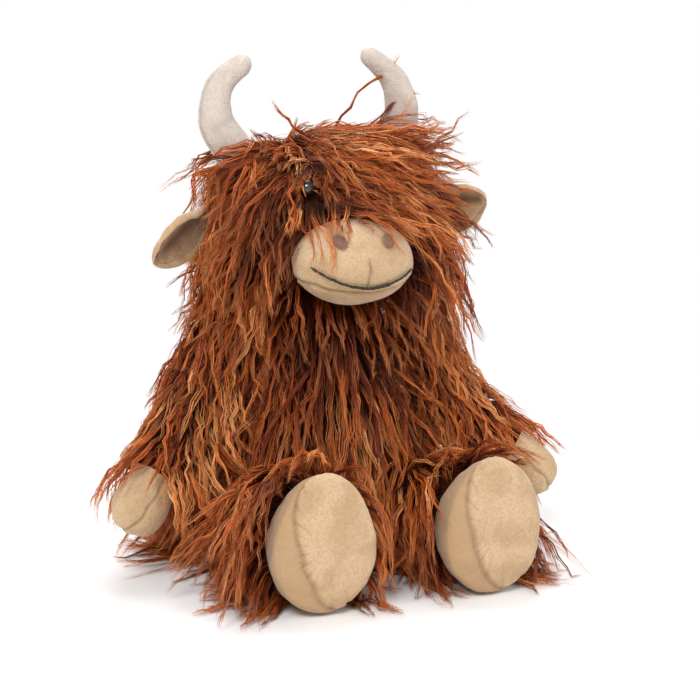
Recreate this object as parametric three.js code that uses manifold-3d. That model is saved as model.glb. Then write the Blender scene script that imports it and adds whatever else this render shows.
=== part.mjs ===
import * as THREE from "three";
import { mergeVertices } from "three/addons/utils/BufferGeometryUtils.js";
import Module from "manifold-3d";

const wasm = await Module();
wasm.setup();

// A sitting plush highland cow, in millimetres. +Z is up and the cow faces -Y.
// Left and right are the cow's own, so left is +X. The origin is the middle of the flat seat, on the surface.
// Coats and sleeves stand for the backing cloth with its combed pile. The stuffing inside fills the rest.

// Fits between pieces
const seamGap = 0.3;
const fillGap = 0.6;
const turnGap = 0.8;
const turnRelief = 2;
const cutOverrun = 4;
const plushThickness = 1.6;

// Torso
const torsoHeight = 174;
const torsoHalfWidth = 95;
const torsoHalfDepth = 82;
const torsoWall = 15;
const seatThickness = 3;
const pouchHalfWidth = 52;
const pouchHalfDepth = 30;
const pouchHeight = 26;
const pouchBack = 28;

// Neck: a stuffed ball that turns and nods in two sockets
const neckClearance = 12;
const neckForward = 6;
const neckRadius = 36;
const neckSleeveHalfHeight = 20;

// Head
const headRise = 106;
const headHalfWidth = 97;
const headHalfDepth = 82;
const headWall = 18;

// Muzzle
const muzzleHalfWidth = 43;
const muzzleHalfHeight = 30;
const muzzleLength = 66;
const muzzleReach = 106;
const muzzleRise = 21;
const nostrilSpread = 16.5;
const nostrilRise = 14;
const nostrilHalfWidth = 3.8;
const nostrilHalfHeight = 4.8;
const stitchHeight = 0.9;
const smileHalfWidth = 36;
const smileDepth = 14;
const smileDrop = 1;
const smileThread = 1.6;
const chinSeamDrop = 19;

// Eyes: a glossy cap on a shank that a washer locks inside the head
const eyeSpread = 25;
const eyeRise = 69;
const eyeRadius = 6;
const shankRadius = 1.6;
const shankLength = 10;
const washerRadius = 7;
const washerThickness = 1.5;
const washerPlay = 0.5;

// Horns
const hornSpread = 69;
const hornHeight = 82;
const hornRise = 72;
const hornRadius = 13.5;
const hornLean = 6;
const hornLift = 3;

// Ears
const earLength = 41;
const earHalfWidth = 16;
const earCup = 7;
const earThickness = 2.2;
const earRootRadius = 9;
const earRise = 52;
const earStandOff = 8.4;
const earForwardDeg = 22;
const earDroopDegs = { left: 4, right: 38 };

// Arms
const shoulderDrop = 24;
const shoulderSpread = 69;
const armOut = 59;
const armForward = 47;
const armDrop = 83;
const armRadius = 24;
const armWall = 7;
const handLength = 44;
const handHalfWidth = 20;
const handHalfThickness = 17;
const handRootRadius = 17;

// Legs
const hipSpread = 54;
const hipForward = 78;
const hipRadius = 30;
const legRadius = 43;
const legLength = 56;
const legSplay = 3;
const legLean = 5;
const legWall = 11;
const floorCut = 0.5;

// Feet
const footDepth = 42;
const footHalfWidth = 34;
const footHeight = 92;
const footRootRadius = 26;
const soleThickness = 9;

// Counts of rings and sides
const bigRings = 10;
const bigSides = 18;
const midRings = 9;
const midSides = 14;
const coreRings = 6;
const neckSteps = 4;
const smallSteps = 4;
const coreSides = 12;
const smallSides = 12;
const tinySides = 8;
const ballSides = 24;
const smallBallSides = 16;

// Profiles: each row is a place along the form, then its half width and half depth.
// The torso's rows end with how far they lie behind its upright axis.
const torsoShares = [
  [0, 1.06, 1.06, 0.07],
  [0.06, 1.1, 1.08, 0.08],
  [0.2, 1.03, 1.03, 0.04],
  [0.36, 0.91, 0.95, 0.03],
  [0.5, 0.78, 0.88, 0.03],
  [0.64, 0.71, 0.82, 0.04],
  [0.8, 0.57, 0.7, 0.06],
  [1, 0.45, 0.52, 0.05],
];
const headShares = [
  [0.04, 1, 0.97],
  [0.16, 0.98, 1],
  [0.3, 0.91, 0.99],
  [0.45, 0.85, 0.95],
  [0.64, 0.78, 0.88],
  [0.8, 0.73, 0.79],
  [1, 0.74, 0.74],
];
const muzzleShares = [
  [0, 0.88, 0.9],
  [0.3, 0.98, 0.98],
  [0.6, 1, 1],
  [1, 0.8, 0.8],
];
const hornShares = [
  [0.68, 0.02, 0, 1.1],
  [0.84, 0.02, 0.26, 1.07],
  [1, 0, 0.54, 0.97],
  [0.95, 0, 0.79, 0.8],
  [0.6, 0, 1.06, 0.54],
];
const earShares = [0.4, 0.8, 1, 0.97, 0.8, 0.25];
const earCupShares = [0.2, 1, 1, 0.8, 0.5, 0.2];
const armShares = [
  [0, 0, 0, 0.94],
  [0.38, 0.38, 0.5, 1.04],
  [1, 1, 1, 1],
];
const handShares = [
  [0, 0, 0],
  [0.15, 0.05, 0],
  [0.5, 1, 1],
  [1, 0.9, 0.8],
];
const legShares = [
  [0, 0],
  [0.2, 0.02],
  [0.48, 0.6],
  [0.72, 1],
  [1, 0.96],
];
const footShares = [
  [0, 0, 0, 0, 0],
  [0.2, 0.05, 0.1, 0, 0.2],
  [0.42, 0.7, 0.9, 0.3, 0.7],
  [0.6, 1, 1, 0.62, 1],
  [0.85, 1, 1, 1, 1],
  [1, 0.97, 0.98, 0.98, 1],
];
const footEggShare = 0.12;
const hornRoundShare = 1.4;
const headRoundShare = 0.45;

const plush = new THREE.MeshStandardMaterial({ color: 0xd9b98a, roughness: 0.9, metalness: 0 });
const hornPlush = new THREE.MeshStandardMaterial({ color: 0xcfc2b8, roughness: 0.9, metalness: 0 });
const coat = new THREE.MeshStandardMaterial({ color: 0x8f3f14, roughness: 0.95, metalness: 0 });
const lining = new THREE.MeshStandardMaterial({ color: 0x7a5138, roughness: 0.9, metalness: 0 });
const thread = new THREE.MeshStandardMaterial({ color: 0x1d1714, roughness: 0.7, metalness: 0 });
const nostrilThread = new THREE.MeshStandardMaterial({ color: 0x8a6450, roughness: 0.75, metalness: 0 });
const eyePlastic = new THREE.MeshStandardMaterial({ color: 0x120d0b, roughness: 0.12, metalness: 0 });
const washerPlastic = new THREE.MeshStandardMaterial({ color: 0xe8e6e0, roughness: 0.5, metalness: 0 });
const fibre = new THREE.MeshStandardMaterial({ color: 0xf1efe9, roughness: 1, metalness: 0 });
const pouchCloth = new THREE.MeshStandardMaterial({ color: 0xd8d4ca, roughness: 0.9, metalness: 0 });

// The value at a place between the rows of a table, on a smooth curve through them
function along(values, t) {
  const place = t * (values.length - 1);
  const i = Math.min(Math.floor(place), values.length - 2);
  const f = place - i;
  const [a, b] = [values[i], values[i + 1]];
  const before = i > 0 ? values[i - 1] : 2 * a - b;
  const after = i + 2 < values.length ? values[i + 2] : 2 * b - a;
  const [rise, fall] = [(b - before) / 2, (after - a) / 2];
  return a + f * rise + f * f * (3 * (b - a) - 2 * rise - fall) + f * f * f * (rise + fall - 2 * (b - a));
}

// Rings lie closer together towards the ends that are rounded off
function ringShare(share, startRound, endRound) {
  if (startRound && endRound) return (1 - Math.cos(Math.PI * share)) / 2;
  if (startRound) return 1 - Math.cos((Math.PI / 2) * share);
  if (endRound) return Math.sin((Math.PI / 2) * share);
  return share;
}

// A closed soft form along a spine: rings that swell and taper, with rounded or flat ends.
// grow moves the whole skin outwards, and reach lengthens the flat ends.
function softForm(spec, grow = 0, reach = 0) {
  const { spine, halfWidths, halfDepths, widthWay, rings, sides } = spec;
  const { startRound = 0, endRound = 0, eggShares = [0, 0], ringWay } = spec;
  const path = new THREE.CatmullRomCurve3(spine, false, "centripetal");
  const length = path.getLength();
  const positions = [];
  const tips = [];
  for (let i = 0; i <= rings; i++) {
    const share = ringShare(i / rings, startRound, endRound);
    const t = path.getUtoTmapping(share);
    const tangent = ringWay ?? path.getTangent(t);
    const fromStart = share * length;
    const fromEnd = length - fromStart;
    let squeeze = 1;
    let shift = 0;
    if (fromStart < startRound) {
      const away = 1 - fromStart / startRound;
      squeeze = Math.sqrt(1 - away * away);
      shift = -away * grow;
    } else if (fromEnd < endRound) {
      const away = 1 - fromEnd / endRound;
      squeeze = Math.sqrt(1 - away * away);
      shift = away * grow;
    } else if (i === 0 || i === rings) {
      shift = (i === 0 ? -1 : 1) * (grow + reach);
    }
    const centre = path.getPoint(t).addScaledVector(tangent, shift);
    const across = widthWay.clone().addScaledVector(tangent, -widthWay.dot(tangent)).normalize();
    const deep = tangent.clone().cross(across);
    const halfWidth = (along(halfWidths, t) + grow) * squeeze;
    const halfDepth = (along(halfDepths, t) + grow) * squeeze;
    if (squeeze === 0) {
      tips[i === 0 ? 0 : 1] = centre;
      continue;
    }
    const egg = along(eggShares, t);
    for (let j = 0; j < sides; j++) {
      const angle = (2 * Math.PI * j) / sides;
      const wide = Math.cos(angle) * halfWidth * (1 - egg * Math.sin(angle));
      const point = centre.clone().addScaledVector(across, wide);
      point.addScaledVector(deep, Math.sin(angle) * halfDepth);
      positions.push(point);
    }
    if (i === 0) tips[0] = centre;
    if (i === rings) tips[1] = centre;
  }
  return closedRings(positions, sides, tips);
}

// One closed body from rings of points. The ends close to a middle point each, or straight across.
function closedRings(points, sides, tips = []) {
  const count = points.length / sides;
  const end = points.length - sides;
  const index = [];
  const [first, last] = [points.length, points.length + 1];
  for (let j = 0; j < sides; j++) {
    const next = (j + 1) % sides;
    for (let i = 0; i < count - 1; i++) {
      const [a, b] = [i * sides + j, i * sides + next];
      index.push(a, b, a + sides, b, b + sides, a + sides);
    }
    if (tips.length) index.push(first, next, j, last, end + j, end + next);
  }
  for (let j = 0; j < sides / 2 - 1 && !tips.length; j++) {
    const [a, b, c, d] = [j, j + 1, sides - 2 - j, sides - 1 - j];
    index.push(a, c, b, a, d, c, end + a, end + b, end + c, end + a, end + c, end + d);
  }
  const geometry = new THREE.BufferGeometry();
  const flat = [...points, ...tips].flatMap((p) => [p.x, p.y, p.z]);
  geometry.setAttribute("position", new THREE.Float32BufferAttribute(flat, 3));
  geometry.setIndex(index);
  return geometry;
}

function solid(geometry) {
  const bare = geometry.clone();
  bare.deleteAttribute("normal");
  bare.deleteAttribute("uv");
  const merged = mergeVertices(bare);
  const mesh = { numProp: 3, vertProperties: merged.attributes.position.array, triVerts: merged.index.array };
  return new wasm.Manifold(new wasm.Mesh({ ...mesh, triVerts: new Uint32Array(mesh.triVerts) }));
}

// The same form with fewer facets, for what lies inside
function coarse(spec) {
  return { ...spec, rings: coreRings, sides: coreSides };
}

function cut(body, ...tools) {
  return tools.reduce((left, tool) => left.subtract(tool), body);
}

function meshOf(name, body, material) {
  const { numProp, vertProperties, triVerts } = body.getMesh();
  const geometry = new THREE.BufferGeometry();
  const positions = [];
  for (let i = 0; i < vertProperties.length; i += numProp) {
    positions.push(vertProperties[i], vertProperties[i + 1], vertProperties[i + 2]);
  }
  geometry.setAttribute("position", new THREE.Float32BufferAttribute(positions, 3));
  geometry.setIndex(Array.from(triVerts));
  geometry.computeVertexNormals();
  const mesh = new THREE.Mesh(geometry, material);
  mesh.name = name;
  return mesh;
}

function vec(x, y, z) {
  return new THREE.Vector3(x, y, z);
}

function ballAt(centre, radius, sides = radius > armRadius ? ballSides : smallBallSides) {
  return solid(new THREE.SphereGeometry(radius, sides, sides / 2).translate(centre.x, centre.y, centre.z));
}

// Everything on the far side of a plane through a point, as a big block for cutting
function blockBeyond(point, way, size) {
  const block = new THREE.BoxGeometry(size, size, size).translate(0, 0, size / 2);
  const turn = new THREE.Quaternion().setFromUnitVectors(vec(0, 0, 1), way.clone().normalize());
  return solid(block.applyQuaternion(turn).translate(point.x, point.y, point.z));
}

function groupAt(point, ...children) {
  const group = new THREE.Group();
  group.position.copy(point);
  group.add(...children);
  return group;
}

const signs = { left: 1, right: -1 };
const acrossWay = vec(1, 0, 0);
const upWay = vec(0, 0, 1);
const frontWay = vec(0, -1, 0);

const neckPivot = vec(0, -neckForward, torsoHeight + neckClearance);
const shoulderPivots = {};
const hipPivots = {};
for (const [side, sign] of Object.entries(signs)) {
  shoulderPivots[side] = vec(sign * shoulderSpread, -neckForward, torsoHeight - shoulderDrop);
  hipPivots[side] = vec(sign * hipSpread, -hipForward, legRadius - floorCut);
}
const shoulderRadius = armRadius * armShares[0][3];

// Torso: a pear on a flat seat, with sockets for the neck, the shoulders and the hips
const torsoSpec = {
  spine: torsoShares.map(([rise, , , back]) => vec(0, back * torsoHalfDepth, rise * torsoHeight)),
  halfWidths: torsoShares.map(([, wide]) => wide * torsoHalfWidth),
  halfDepths: torsoShares.map(([, , deep]) => deep * torsoHalfDepth),
  widthWay: acrossWay,
  ringWay: upWay,
  rings: bigRings,
  sides: bigSides,
};

// The space that an arm sweeps as it swings: its inner side turned round the shoulder's axis,
// with more room below the shoulder than at it
function armSweep(side, grow) {
  const { x, y, z } = shoulderPivots[side];
  const rows = armShares.map(([out, forward, down, thick]) => ({
    out: out * armOut,
    away: Math.hypot(forward * armForward, down * armDrop),
    thick: thick * armRadius + (out ? turnRelief : grow),
  }));
  const profile = [];
  for (let i = 0; i < rows.length - 1; i++) {
    const [from, to] = [rows[i], rows[i + 1]];
    const lean = Math.atan2(to.out - from.out, to.away - from.away);
    for (let j = i === 0 ? 0 : smallSteps; j <= smallSteps; j++) {
      const turn = (lean * j) / smallSteps;
      const height = from.out - from.thick * Math.cos(turn);
      profile.push(new THREE.Vector2(from.away + from.thick * Math.sin(turn), height));
    }
  }
  const { out, away } = rows.at(-1);
  profile.push(new THREE.Vector2(away, out), new THREE.Vector2(0, out));
  const sweep = new THREE.LatheGeometry(profile, smallBallSides).rotateZ(-signs[side] * Math.PI / 2);
  return solid(sweep.translate(x, y, z));
}

function limbSockets(grow) {
  const sockets = [ballAt(neckPivot, neckRadius + grow)];
  for (const side of Object.keys(signs)) {
    sockets.push(armSweep(side, grow));
    sockets.push(ballAt(hipPivots[side], hipRadius + grow));
  }
  return sockets;
}

function pouchForm(grow) {
  const middle = vec(0, pouchBack, seatThickness + seamGap + pouchHeight / 2);
  const lift = vec(0, 0, pouchHeight / 2);
  const spec = {
    spine: [middle.clone().sub(lift), middle, middle.clone().add(lift)],
    halfWidths: [pouchHalfWidth, pouchHalfWidth, pouchHalfWidth],
    halfDepths: [pouchHalfDepth, pouchHalfDepth, pouchHalfDepth],
    widthWay: acrossWay,
    startRound: pouchHeight / 2,
    endRound: pouchHeight / 2,
  };
  return solid(softForm(coarse(spec), grow));
}

function makeTorso() {
  const whole = 2 * (torsoHeight + torsoHalfWidth);
  const seatTop = blockBeyond(vec(0, 0, seatThickness), upWay, whole);
  const underSeat = blockBeyond(vec(0, 0, seatThickness + seamGap), upWay.clone().negate(), whole);
  const underFloor = blockBeyond(vec(0, 0, 0), upWay.clone().negate(), whole);
  const inside = solid(softForm(coarse(torsoSpec), -torsoWall, torsoWall + cutOverrun));
  const coatTop = blockBeyond(vec(0, 0, torsoHeight - torsoWall), upWay, whole);
  const cavity = inside.subtract(coatTop);
  const coatBody = cut(solid(softForm(torsoSpec)), cavity, ...limbSockets(turnGap));
  const stuffing = solid(softForm(coarse(torsoSpec), -torsoWall - fillGap, torsoWall + cutOverrun));
  const stuffingTop = blockBeyond(vec(0, 0, torsoHeight - torsoWall - fillGap), upWay, whole);
  const fill = cut(stuffing, stuffingTop, underSeat, pouchForm(seamGap), ...limbSockets(turnGap));
  const seat = cut(stuffing, seatTop, underFloor);
  return [
    meshOf("torso_coat", coatBody, coat),
    meshOf("torso_stuffing", fill, fibre),
    meshOf("seat_panel", seat, coat),
    meshOf("pellet_pouch", pouchForm(0), pouchCloth),
  ];
}

// Neck: a band of cloth round a stuffed ball
function makeNeck() {
  const inner = neckRadius - plushThickness;
  const profile = [];
  for (const [radius, way] of [[neckRadius, 1], [inner, -1]]) {
    const edge = Math.asin(neckSleeveHalfHeight / radius);
    for (let i = 0; i <= neckSteps; i++) {
      const angle = way * edge * ((2 * i) / neckSteps - 1);
      profile.push(new THREE.Vector2(radius * Math.cos(angle), radius * Math.sin(angle)));
    }
  }
  profile.push(profile[0].clone());
  const sleeve = solid(new THREE.LatheGeometry(profile, ballSides).rotateX(Math.PI / 2));
  const fill = ballAt(vec(0, 0, 0), inner - turnGap, midSides);
  return [meshOf("neck_sleeve", sleeve, coat), meshOf("neck_stuffing", fill, fibre)];
}

// Head, in its own frame with the neck's turning point as origin
const headSpec = {
  spine: headShares.map(([rise]) => vec(0, 0, rise * headRise)),
  halfWidths: headShares.map(([, wide]) => wide * headHalfWidth),
  halfDepths: headShares.map(([, , deep]) => deep * headHalfDepth),
  widthWay: acrossWay,
  rings: bigRings,
  sides: bigSides,
  endRound: headRoundShare * headRise,
};

const muzzleSpec = {
  spine: muzzleShares.map(([out]) => vec(0, muzzleLength * (1 - out) - muzzleReach, muzzleRise)),
  halfWidths: muzzleShares.map(([, wide]) => wide * muzzleHalfWidth),
  halfDepths: muzzleShares.map(([, , high]) => high * muzzleHalfHeight),
  widthWay: acrossWay,
  rings: midRings,
  sides: bigSides,
  startRound: muzzleLength / 2,
  endRound: muzzleLength / 2,
};

function hornSpec(sign) {
  return {
    spine: hornShares.map(([out, back, up]) => vec(
      sign * out * hornSpread - up * hornLean,
      back * hornHeight,
      hornRise + up * (hornHeight + sign * hornLift),
    )),
    halfWidths: hornShares.map(([, , , thick]) => thick * hornRadius),
    halfDepths: hornShares.map(([, , , thick]) => thick * hornRadius),
    widthWay: vec(0, 1, 0),
    rings: midRings,
    sides: smallSides,
    endRound: hornShares.at(-1)[3] * hornRadius * hornRoundShare,
  };
}

// Half the head's width and depth at a given rise, to the outside of its pile
function headHalves(rise) {
  const rows = headShares.map(([share]) => share * headRise);
  let i = 0;
  while (i < rows.length - 2 && rows[i + 1] < rise) i++;
  const f = (rise - rows[i]) / (rows[i + 1] - rows[i]);
  const away = Math.max(0, 1 - (headRise - rise) / (headRoundShare * headRise));
  const squeeze = Math.sqrt(1 - away * away);
  const [wide, deep] = [1, 2].map((k) => headShares[i][k] * (1 - f) + headShares[i + 1][k] * f);
  return [wide * headHalfWidth * squeeze, deep * headHalfDepth * squeeze];
}

function earPivot(sign) {
  const [halfWidth] = headHalves(earRise);
  return vec(sign * (halfWidth + earStandOff), -neckForward, earRise);
}

// The eye's flange lies on the backing cloth, under the pile
function eyePlace(sign) {
  const [halfWidth, halfDepth] = headHalves(eyeRise).map((half) => half - headWall + plushThickness);
  const share = eyeSpread / halfWidth;
  return vec(sign * eyeSpread, -halfDepth * Math.sqrt(1 - share * share), eyeRise);
}

// The eye's own axis: it looks outwards and forwards
function eyeTurned(geometry, sign) {
  const place = eyePlace(sign);
  const way = vec(place.x, place.y, 0).normalize();
  const turn = new THREE.Quaternion().setFromUnitVectors(vec(0, 1, 0), way);
  return solid(geometry.applyQuaternion(turn).translate(place.x, place.y, place.z));
}

function eyeForm(sign, grow) {
  const [cap, shank] = [eyeRadius + grow, shankRadius + grow];
  const profile = [new THREE.Vector2(0, -shankLength - grow), new THREE.Vector2(shank, -shankLength - grow)];
  profile.push(new THREE.Vector2(shank, -grow), new THREE.Vector2(cap, -grow));
  const steps = tinySides / 2;
  for (let i = 1; i <= steps; i++) {
    const angle = (Math.PI * i) / (2 * steps);
    profile.push(new THREE.Vector2(i === steps ? 0 : cap * Math.cos(angle), cap * Math.sin(angle)));
  }
  return eyeTurned(new THREE.LatheGeometry(profile, smallSides), sign);
}

// The well in the pile that lets the eye look out
function eyeWell(sign) {
  const [low, high] = [eyeRadius + seamGap, headWall + cutOverrun];
  const well = new THREE.CylinderGeometry(2 * low, low, high, smallSides).translate(0, high / 2 - seamGap, 0);
  return eyeTurned(well, sign);
}

// The room behind the backing cloth where the washer is pushed onto the shank
function washerBay(sign) {
  const [start, end] = [plushThickness + washerPlay, shankLength + cutOverrun];
  const radius = washerRadius + seamGap;
  const bay = new THREE.CylinderGeometry(radius, radius, end - start, smallSides);
  return eyeTurned(bay.translate(0, -(start + end) / 2, 0), sign);
}

function washerForm(sign, grow) {
  const [inner, outer] = [shankRadius + seamGap - grow, washerRadius + grow];
  const inset = plushThickness + 2 * washerPlay;
  const back = -inset - washerThickness - grow;
  const front = -inset + grow;
  const corners = [[inner, back], [outer, back], [outer, front], [inner, front], [inner, back]];
  const profile = corners.map(([radius, height]) => new THREE.Vector2(radius, height));
  return eyeTurned(new THREE.LatheGeometry(profile, smallSides), sign);
}

function makeHead() {
  const inside = softForm(coarse(headSpec), -headWall);
  const fillForm = softForm(coarse(headSpec), -headWall - fillGap);
  const middle = vec(0, 0, 0);
  const sides = Object.values(signs);
  const openings = [ballAt(middle, neckRadius + turnGap), solid(softForm(muzzleSpec, seamGap))];
  for (const sign of sides) {
    openings.push(solid(softForm(hornSpec(sign), seamGap, seamGap)));
    openings.push(eyeForm(sign, seamGap));
  }
  const coatOnly = sides.flatMap((sign) => [
    eyeWell(sign),
    washerBay(sign),
    ballAt(earPivot(sign), earRootRadius + turnGap),
  ]);
  const fillOnly = sides.map((sign) => washerForm(sign, seamGap));
  const coatBody = cut(solid(softForm(headSpec)), solid(inside), ...openings, ...coatOnly);
  const fill = cut(solid(fillForm), ...openings, ...fillOnly);
  const meshes = [meshOf("head_coat", coatBody, coat), meshOf("head_stuffing", fill, fibre)];
  for (const [side, sign] of Object.entries(signs)) {
    meshes.push(meshOf(`eye_${side}`, eyeForm(sign, 0), eyePlastic));
    meshes.push(meshOf(`eye_washer_${side}`, washerForm(sign, 0), washerPlastic));
  }
  return meshes;
}

// Muzzle: two cheek panels and a chin panel, sewn edge to edge over the stuffing
function makeMuzzle() {
  const size = 3 * muzzleReach;
  const outer = solid(softForm(muzzleSpec));
  const under = solid(softForm(coarse(muzzleSpec), -plushThickness));
  const fill = solid(softForm(coarse(muzzleSpec), -plushThickness - fillGap));
  const backEdge = vec(0, -muzzleReach + muzzleLength / 2, 0);
  const behind = blockBeyond(backEdge, frontWay.clone().negate(), size);
  const skin = cut(outer, under, behind);
  const seamRise = muzzleRise - chinSeamDrop;
  const belowSeam = blockBeyond(vec(0, 0, seamRise + seamGap / 2), upWay.clone().negate(), size);
  const aboveSeam = blockBeyond(vec(0, 0, seamRise - seamGap / 2), upWay, size);
  const meshes = [
    meshOf("muzzle_stuffing", fill, fibre),
    meshOf("chin_panel", cut(skin, aboveSeam), plush),
  ];
  for (const [side, sign] of Object.entries(signs)) {
    const awayWay = acrossWay.clone().multiplyScalar(-sign);
    const otherHalf = blockBeyond(vec(sign * seamGap / 2, 0, 0), awayWay, size);
    meshes.push(meshOf(`muzzle_panel_${side}`, cut(skin, belowSeam, otherHalf), plush));
  }
  return meshes.concat(makeFace());
}

// Embroidery: what a cutter pushed in from the front leaves of a thin layer over the muzzle
function embroidered(shape, layer) {
  const pushed = { depth: muzzleReach, bevelEnabled: false, steps: 1, curveSegments: midSides / 2 };
  const cutter = new THREE.ExtrudeGeometry(shape, pushed);
  const turned = cutter.rotateX(Math.PI / 2).translate(0, -muzzleReach + muzzleLength / 2, 0);
  return layer.intersect(solid(turned));
}

function makeFace() {
  const under = solid(softForm(muzzleSpec, seamGap));
  const layer = solid(softForm(muzzleSpec, seamGap + stitchHeight)).subtract(under);
  const meshes = [];
  for (const [side, sign] of Object.entries(signs)) {
    const oval = new THREE.Shape();
    const [x, y] = [sign * nostrilSpread, muzzleRise + nostrilRise];
    oval.absellipse(x, y, nostrilHalfWidth, nostrilHalfHeight, 0, 2 * Math.PI);
    meshes.push(meshOf(`nostril_${side}`, embroidered(oval, layer), nostrilThread));
  }
  const corner = muzzleRise - smileDrop;
  const dip = corner - 2 * smileDepth;
  const smile = new THREE.Shape();
  smile.moveTo(-smileHalfWidth, corner);
  smile.quadraticCurveTo(0, dip, smileHalfWidth, corner);
  smile.lineTo(smileHalfWidth, corner + smileThread);
  smile.quadraticCurveTo(0, dip + smileThread, -smileHalfWidth, corner + smileThread);
  meshes.push(meshOf("smile_stitch", embroidered(smile, layer), thread));
  return meshes;
}

// Horns: a sewn cover over a stuffed core, open where it meets the head
function makeHorns() {
  const meshes = [];
  for (const [side, sign] of Object.entries(signs)) {
    const spec = hornSpec(sign);
    const hollow = softForm(coarse(spec), -plushThickness, plushThickness + cutOverrun);
    const fill = softForm(coarse(spec), -plushThickness - fillGap, plushThickness);
    meshes.push(meshOf(`horn_${side}_cover`, solid(softForm(spec)).subtract(solid(hollow)), hornPlush));
    meshes.push(meshOf(`horn_${side}_stuffing`, solid(fill), fibre));
  }
  return meshes;
}

// Ears: a cupped leaf of two layers, open to the front, on a small stuffed root
function earLayer(sign, back, front) {
  const points = [];
  const half = smallSides / 2;
  for (let i = 0; i <= midRings; i++) {
    const share = i / midRings;
    const halfHeight = earHalfWidth * along(earShares, share);
    const cup = earCup * along(earCupShares, share);
    const reach = sign * (earRootRadius / 2 + share * (earLength - earRootRadius / 2));
    for (let j = 0; j < smallSides; j++) {
      const place = j < half ? j : smallSides - 1 - j;
      const across = sign * ((2 * place) / (half - 1) - 1);
      const layer = j < half ? back : front;
      points.push(vec(reach, -layer - cup * across * across, halfHeight * across));
    }
  }
  return solid(closedRings(points, smallSides));
}

function makeEar(side) {
  const sign = signs[side];
  const root = ballAt(vec(0, 0, 0), earRootRadius, coreSides);
  const rootCut = ballAt(vec(0, 0, 0), earRootRadius + seamGap, coreSides);
  const back = earLayer(sign, -earThickness, 0).add(root);
  const front = earLayer(sign, fillGap, fillGap + earThickness).subtract(rootCut);
  return [meshOf(`ear_${side}_back`, back, plush), meshOf(`ear_${side}_lining`, front, lining)];
}

// Arms: a sleeve of coat from the shoulder ball to a cup at the wrist
function armSpec(sign) {
  const rows = armShares.map(([out, forward, down]) => vec(
    sign * out * armOut,
    -forward * armForward,
    -down * armDrop,
  ));
  const thick = armShares.map(([, , , share]) => share * armRadius);
  const behind = rows[1].clone().normalize().multiplyScalar(-shoulderRadius);
  return {
    spine: [behind, ...rows],
    halfWidths: [shoulderRadius, ...thick],
    halfDepths: [shoulderRadius, ...thick],
    widthWay: acrossWay,
    rings: midRings,
    sides: midSides,
    startRound: shoulderRadius,
  };
}

function wristPivot(sign) {
  return vec(sign * armOut, -armForward, -armDrop);
}

function handWay(sign) {
  const path = new THREE.CatmullRomCurve3(armSpec(sign).spine, false, "centripetal");
  return path.getTangentAt(1);
}

function makeArm(side) {
  const sign = signs[side];
  const size = 4 * armDrop;
  const spec = armSpec(sign);
  const wrist = wristPivot(sign);
  const cup = ballAt(wrist, handRootRadius + turnGap);
  const way = handWay(sign);
  const past = blockBeyond(wrist.clone().addScaledVector(way, -turnRelief), way, size);
  const inner = solid(softForm(coarse(spec), -armWall, armWall + cutOverrun));
  const core = solid(softForm(coarse(spec), -armWall - fillGap, armWall));
  return [
    meshOf(`arm_${side}_sleeve`, cut(solid(softForm(spec)), inner, cup, past), coat),
    meshOf(`arm_${side}_stuffing`, cut(core, cup, past), fibre),
  ];
}

// Hands: a mitt of two sewn halves, with a stuffed root in the sleeve's cup
function handSpec(sign) {
  const way = handWay(sign);
  const swell = (full, share) => handRootRadius + share * (full - handRootRadius);
  const outs = [-handRootRadius, ...handShares.map(([out]) => out * handLength)];
  return {
    spine: outs.map((out) => way.clone().multiplyScalar(out)),
    halfWidths: [handRootRadius, ...handShares.map(([, wide]) => swell(handHalfWidth, wide))],
    halfDepths: [handRootRadius, ...handShares.map(([, , deep]) => swell(handHalfThickness, deep))],
    widthWay: acrossWay,
    rings: midRings,
    sides: midSides,
    startRound: handRootRadius,
    endRound: handLength / 2,
  };
}

function makeHand(side) {
  const sign = signs[side];
  const size = 4 * handLength;
  const spec = handSpec(sign);
  const way = handWay(sign);
  const skin = solid(softForm(spec)).subtract(solid(softForm(coarse(spec), -plushThickness)));
  const seamWay = way.clone().cross(frontWay).normalize();
  const meshes = [];
  for (const [half, turn] of [["outer", sign], ["inner", -sign]]) {
    const keep = seamWay.clone().multiplyScalar(Math.sign(seamWay.x) * turn);
    const other = blockBeyond(keep.clone().multiplyScalar(seamGap / 2), keep.clone().negate(), size);
    meshes.push(meshOf(`hand_${side}_${half}_panel`, cut(skin, other), plush));
  }
  const fill = solid(softForm(coarse(spec), -plushThickness - fillGap));
  meshes.push(meshOf(`hand_${side}_stuffing`, fill, fibre));
  return meshes;
}

// Legs: a sleeve from the hip ball to a cup at the ankle, flat where it lies on the surface
function legSpec(sign) {
  const rows = legShares.map(([out]) => vec(out * (sign * legSplay + legLean), -out * legLength, 0));
  const thick = legShares.map(([, swell]) => hipRadius + swell * (legRadius - hipRadius));
  const behind = rows[1].clone().normalize().multiplyScalar(-hipRadius);
  return {
    spine: [behind, ...rows],
    halfWidths: [hipRadius, ...thick],
    halfDepths: [hipRadius, ...thick],
    widthWay: acrossWay,
    rings: midRings,
    sides: midSides,
    startRound: hipRadius,
  };
}

function anklePivot(sign) {
  return vec(sign * legSplay + legLean, -legLength, 0);
}

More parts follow.
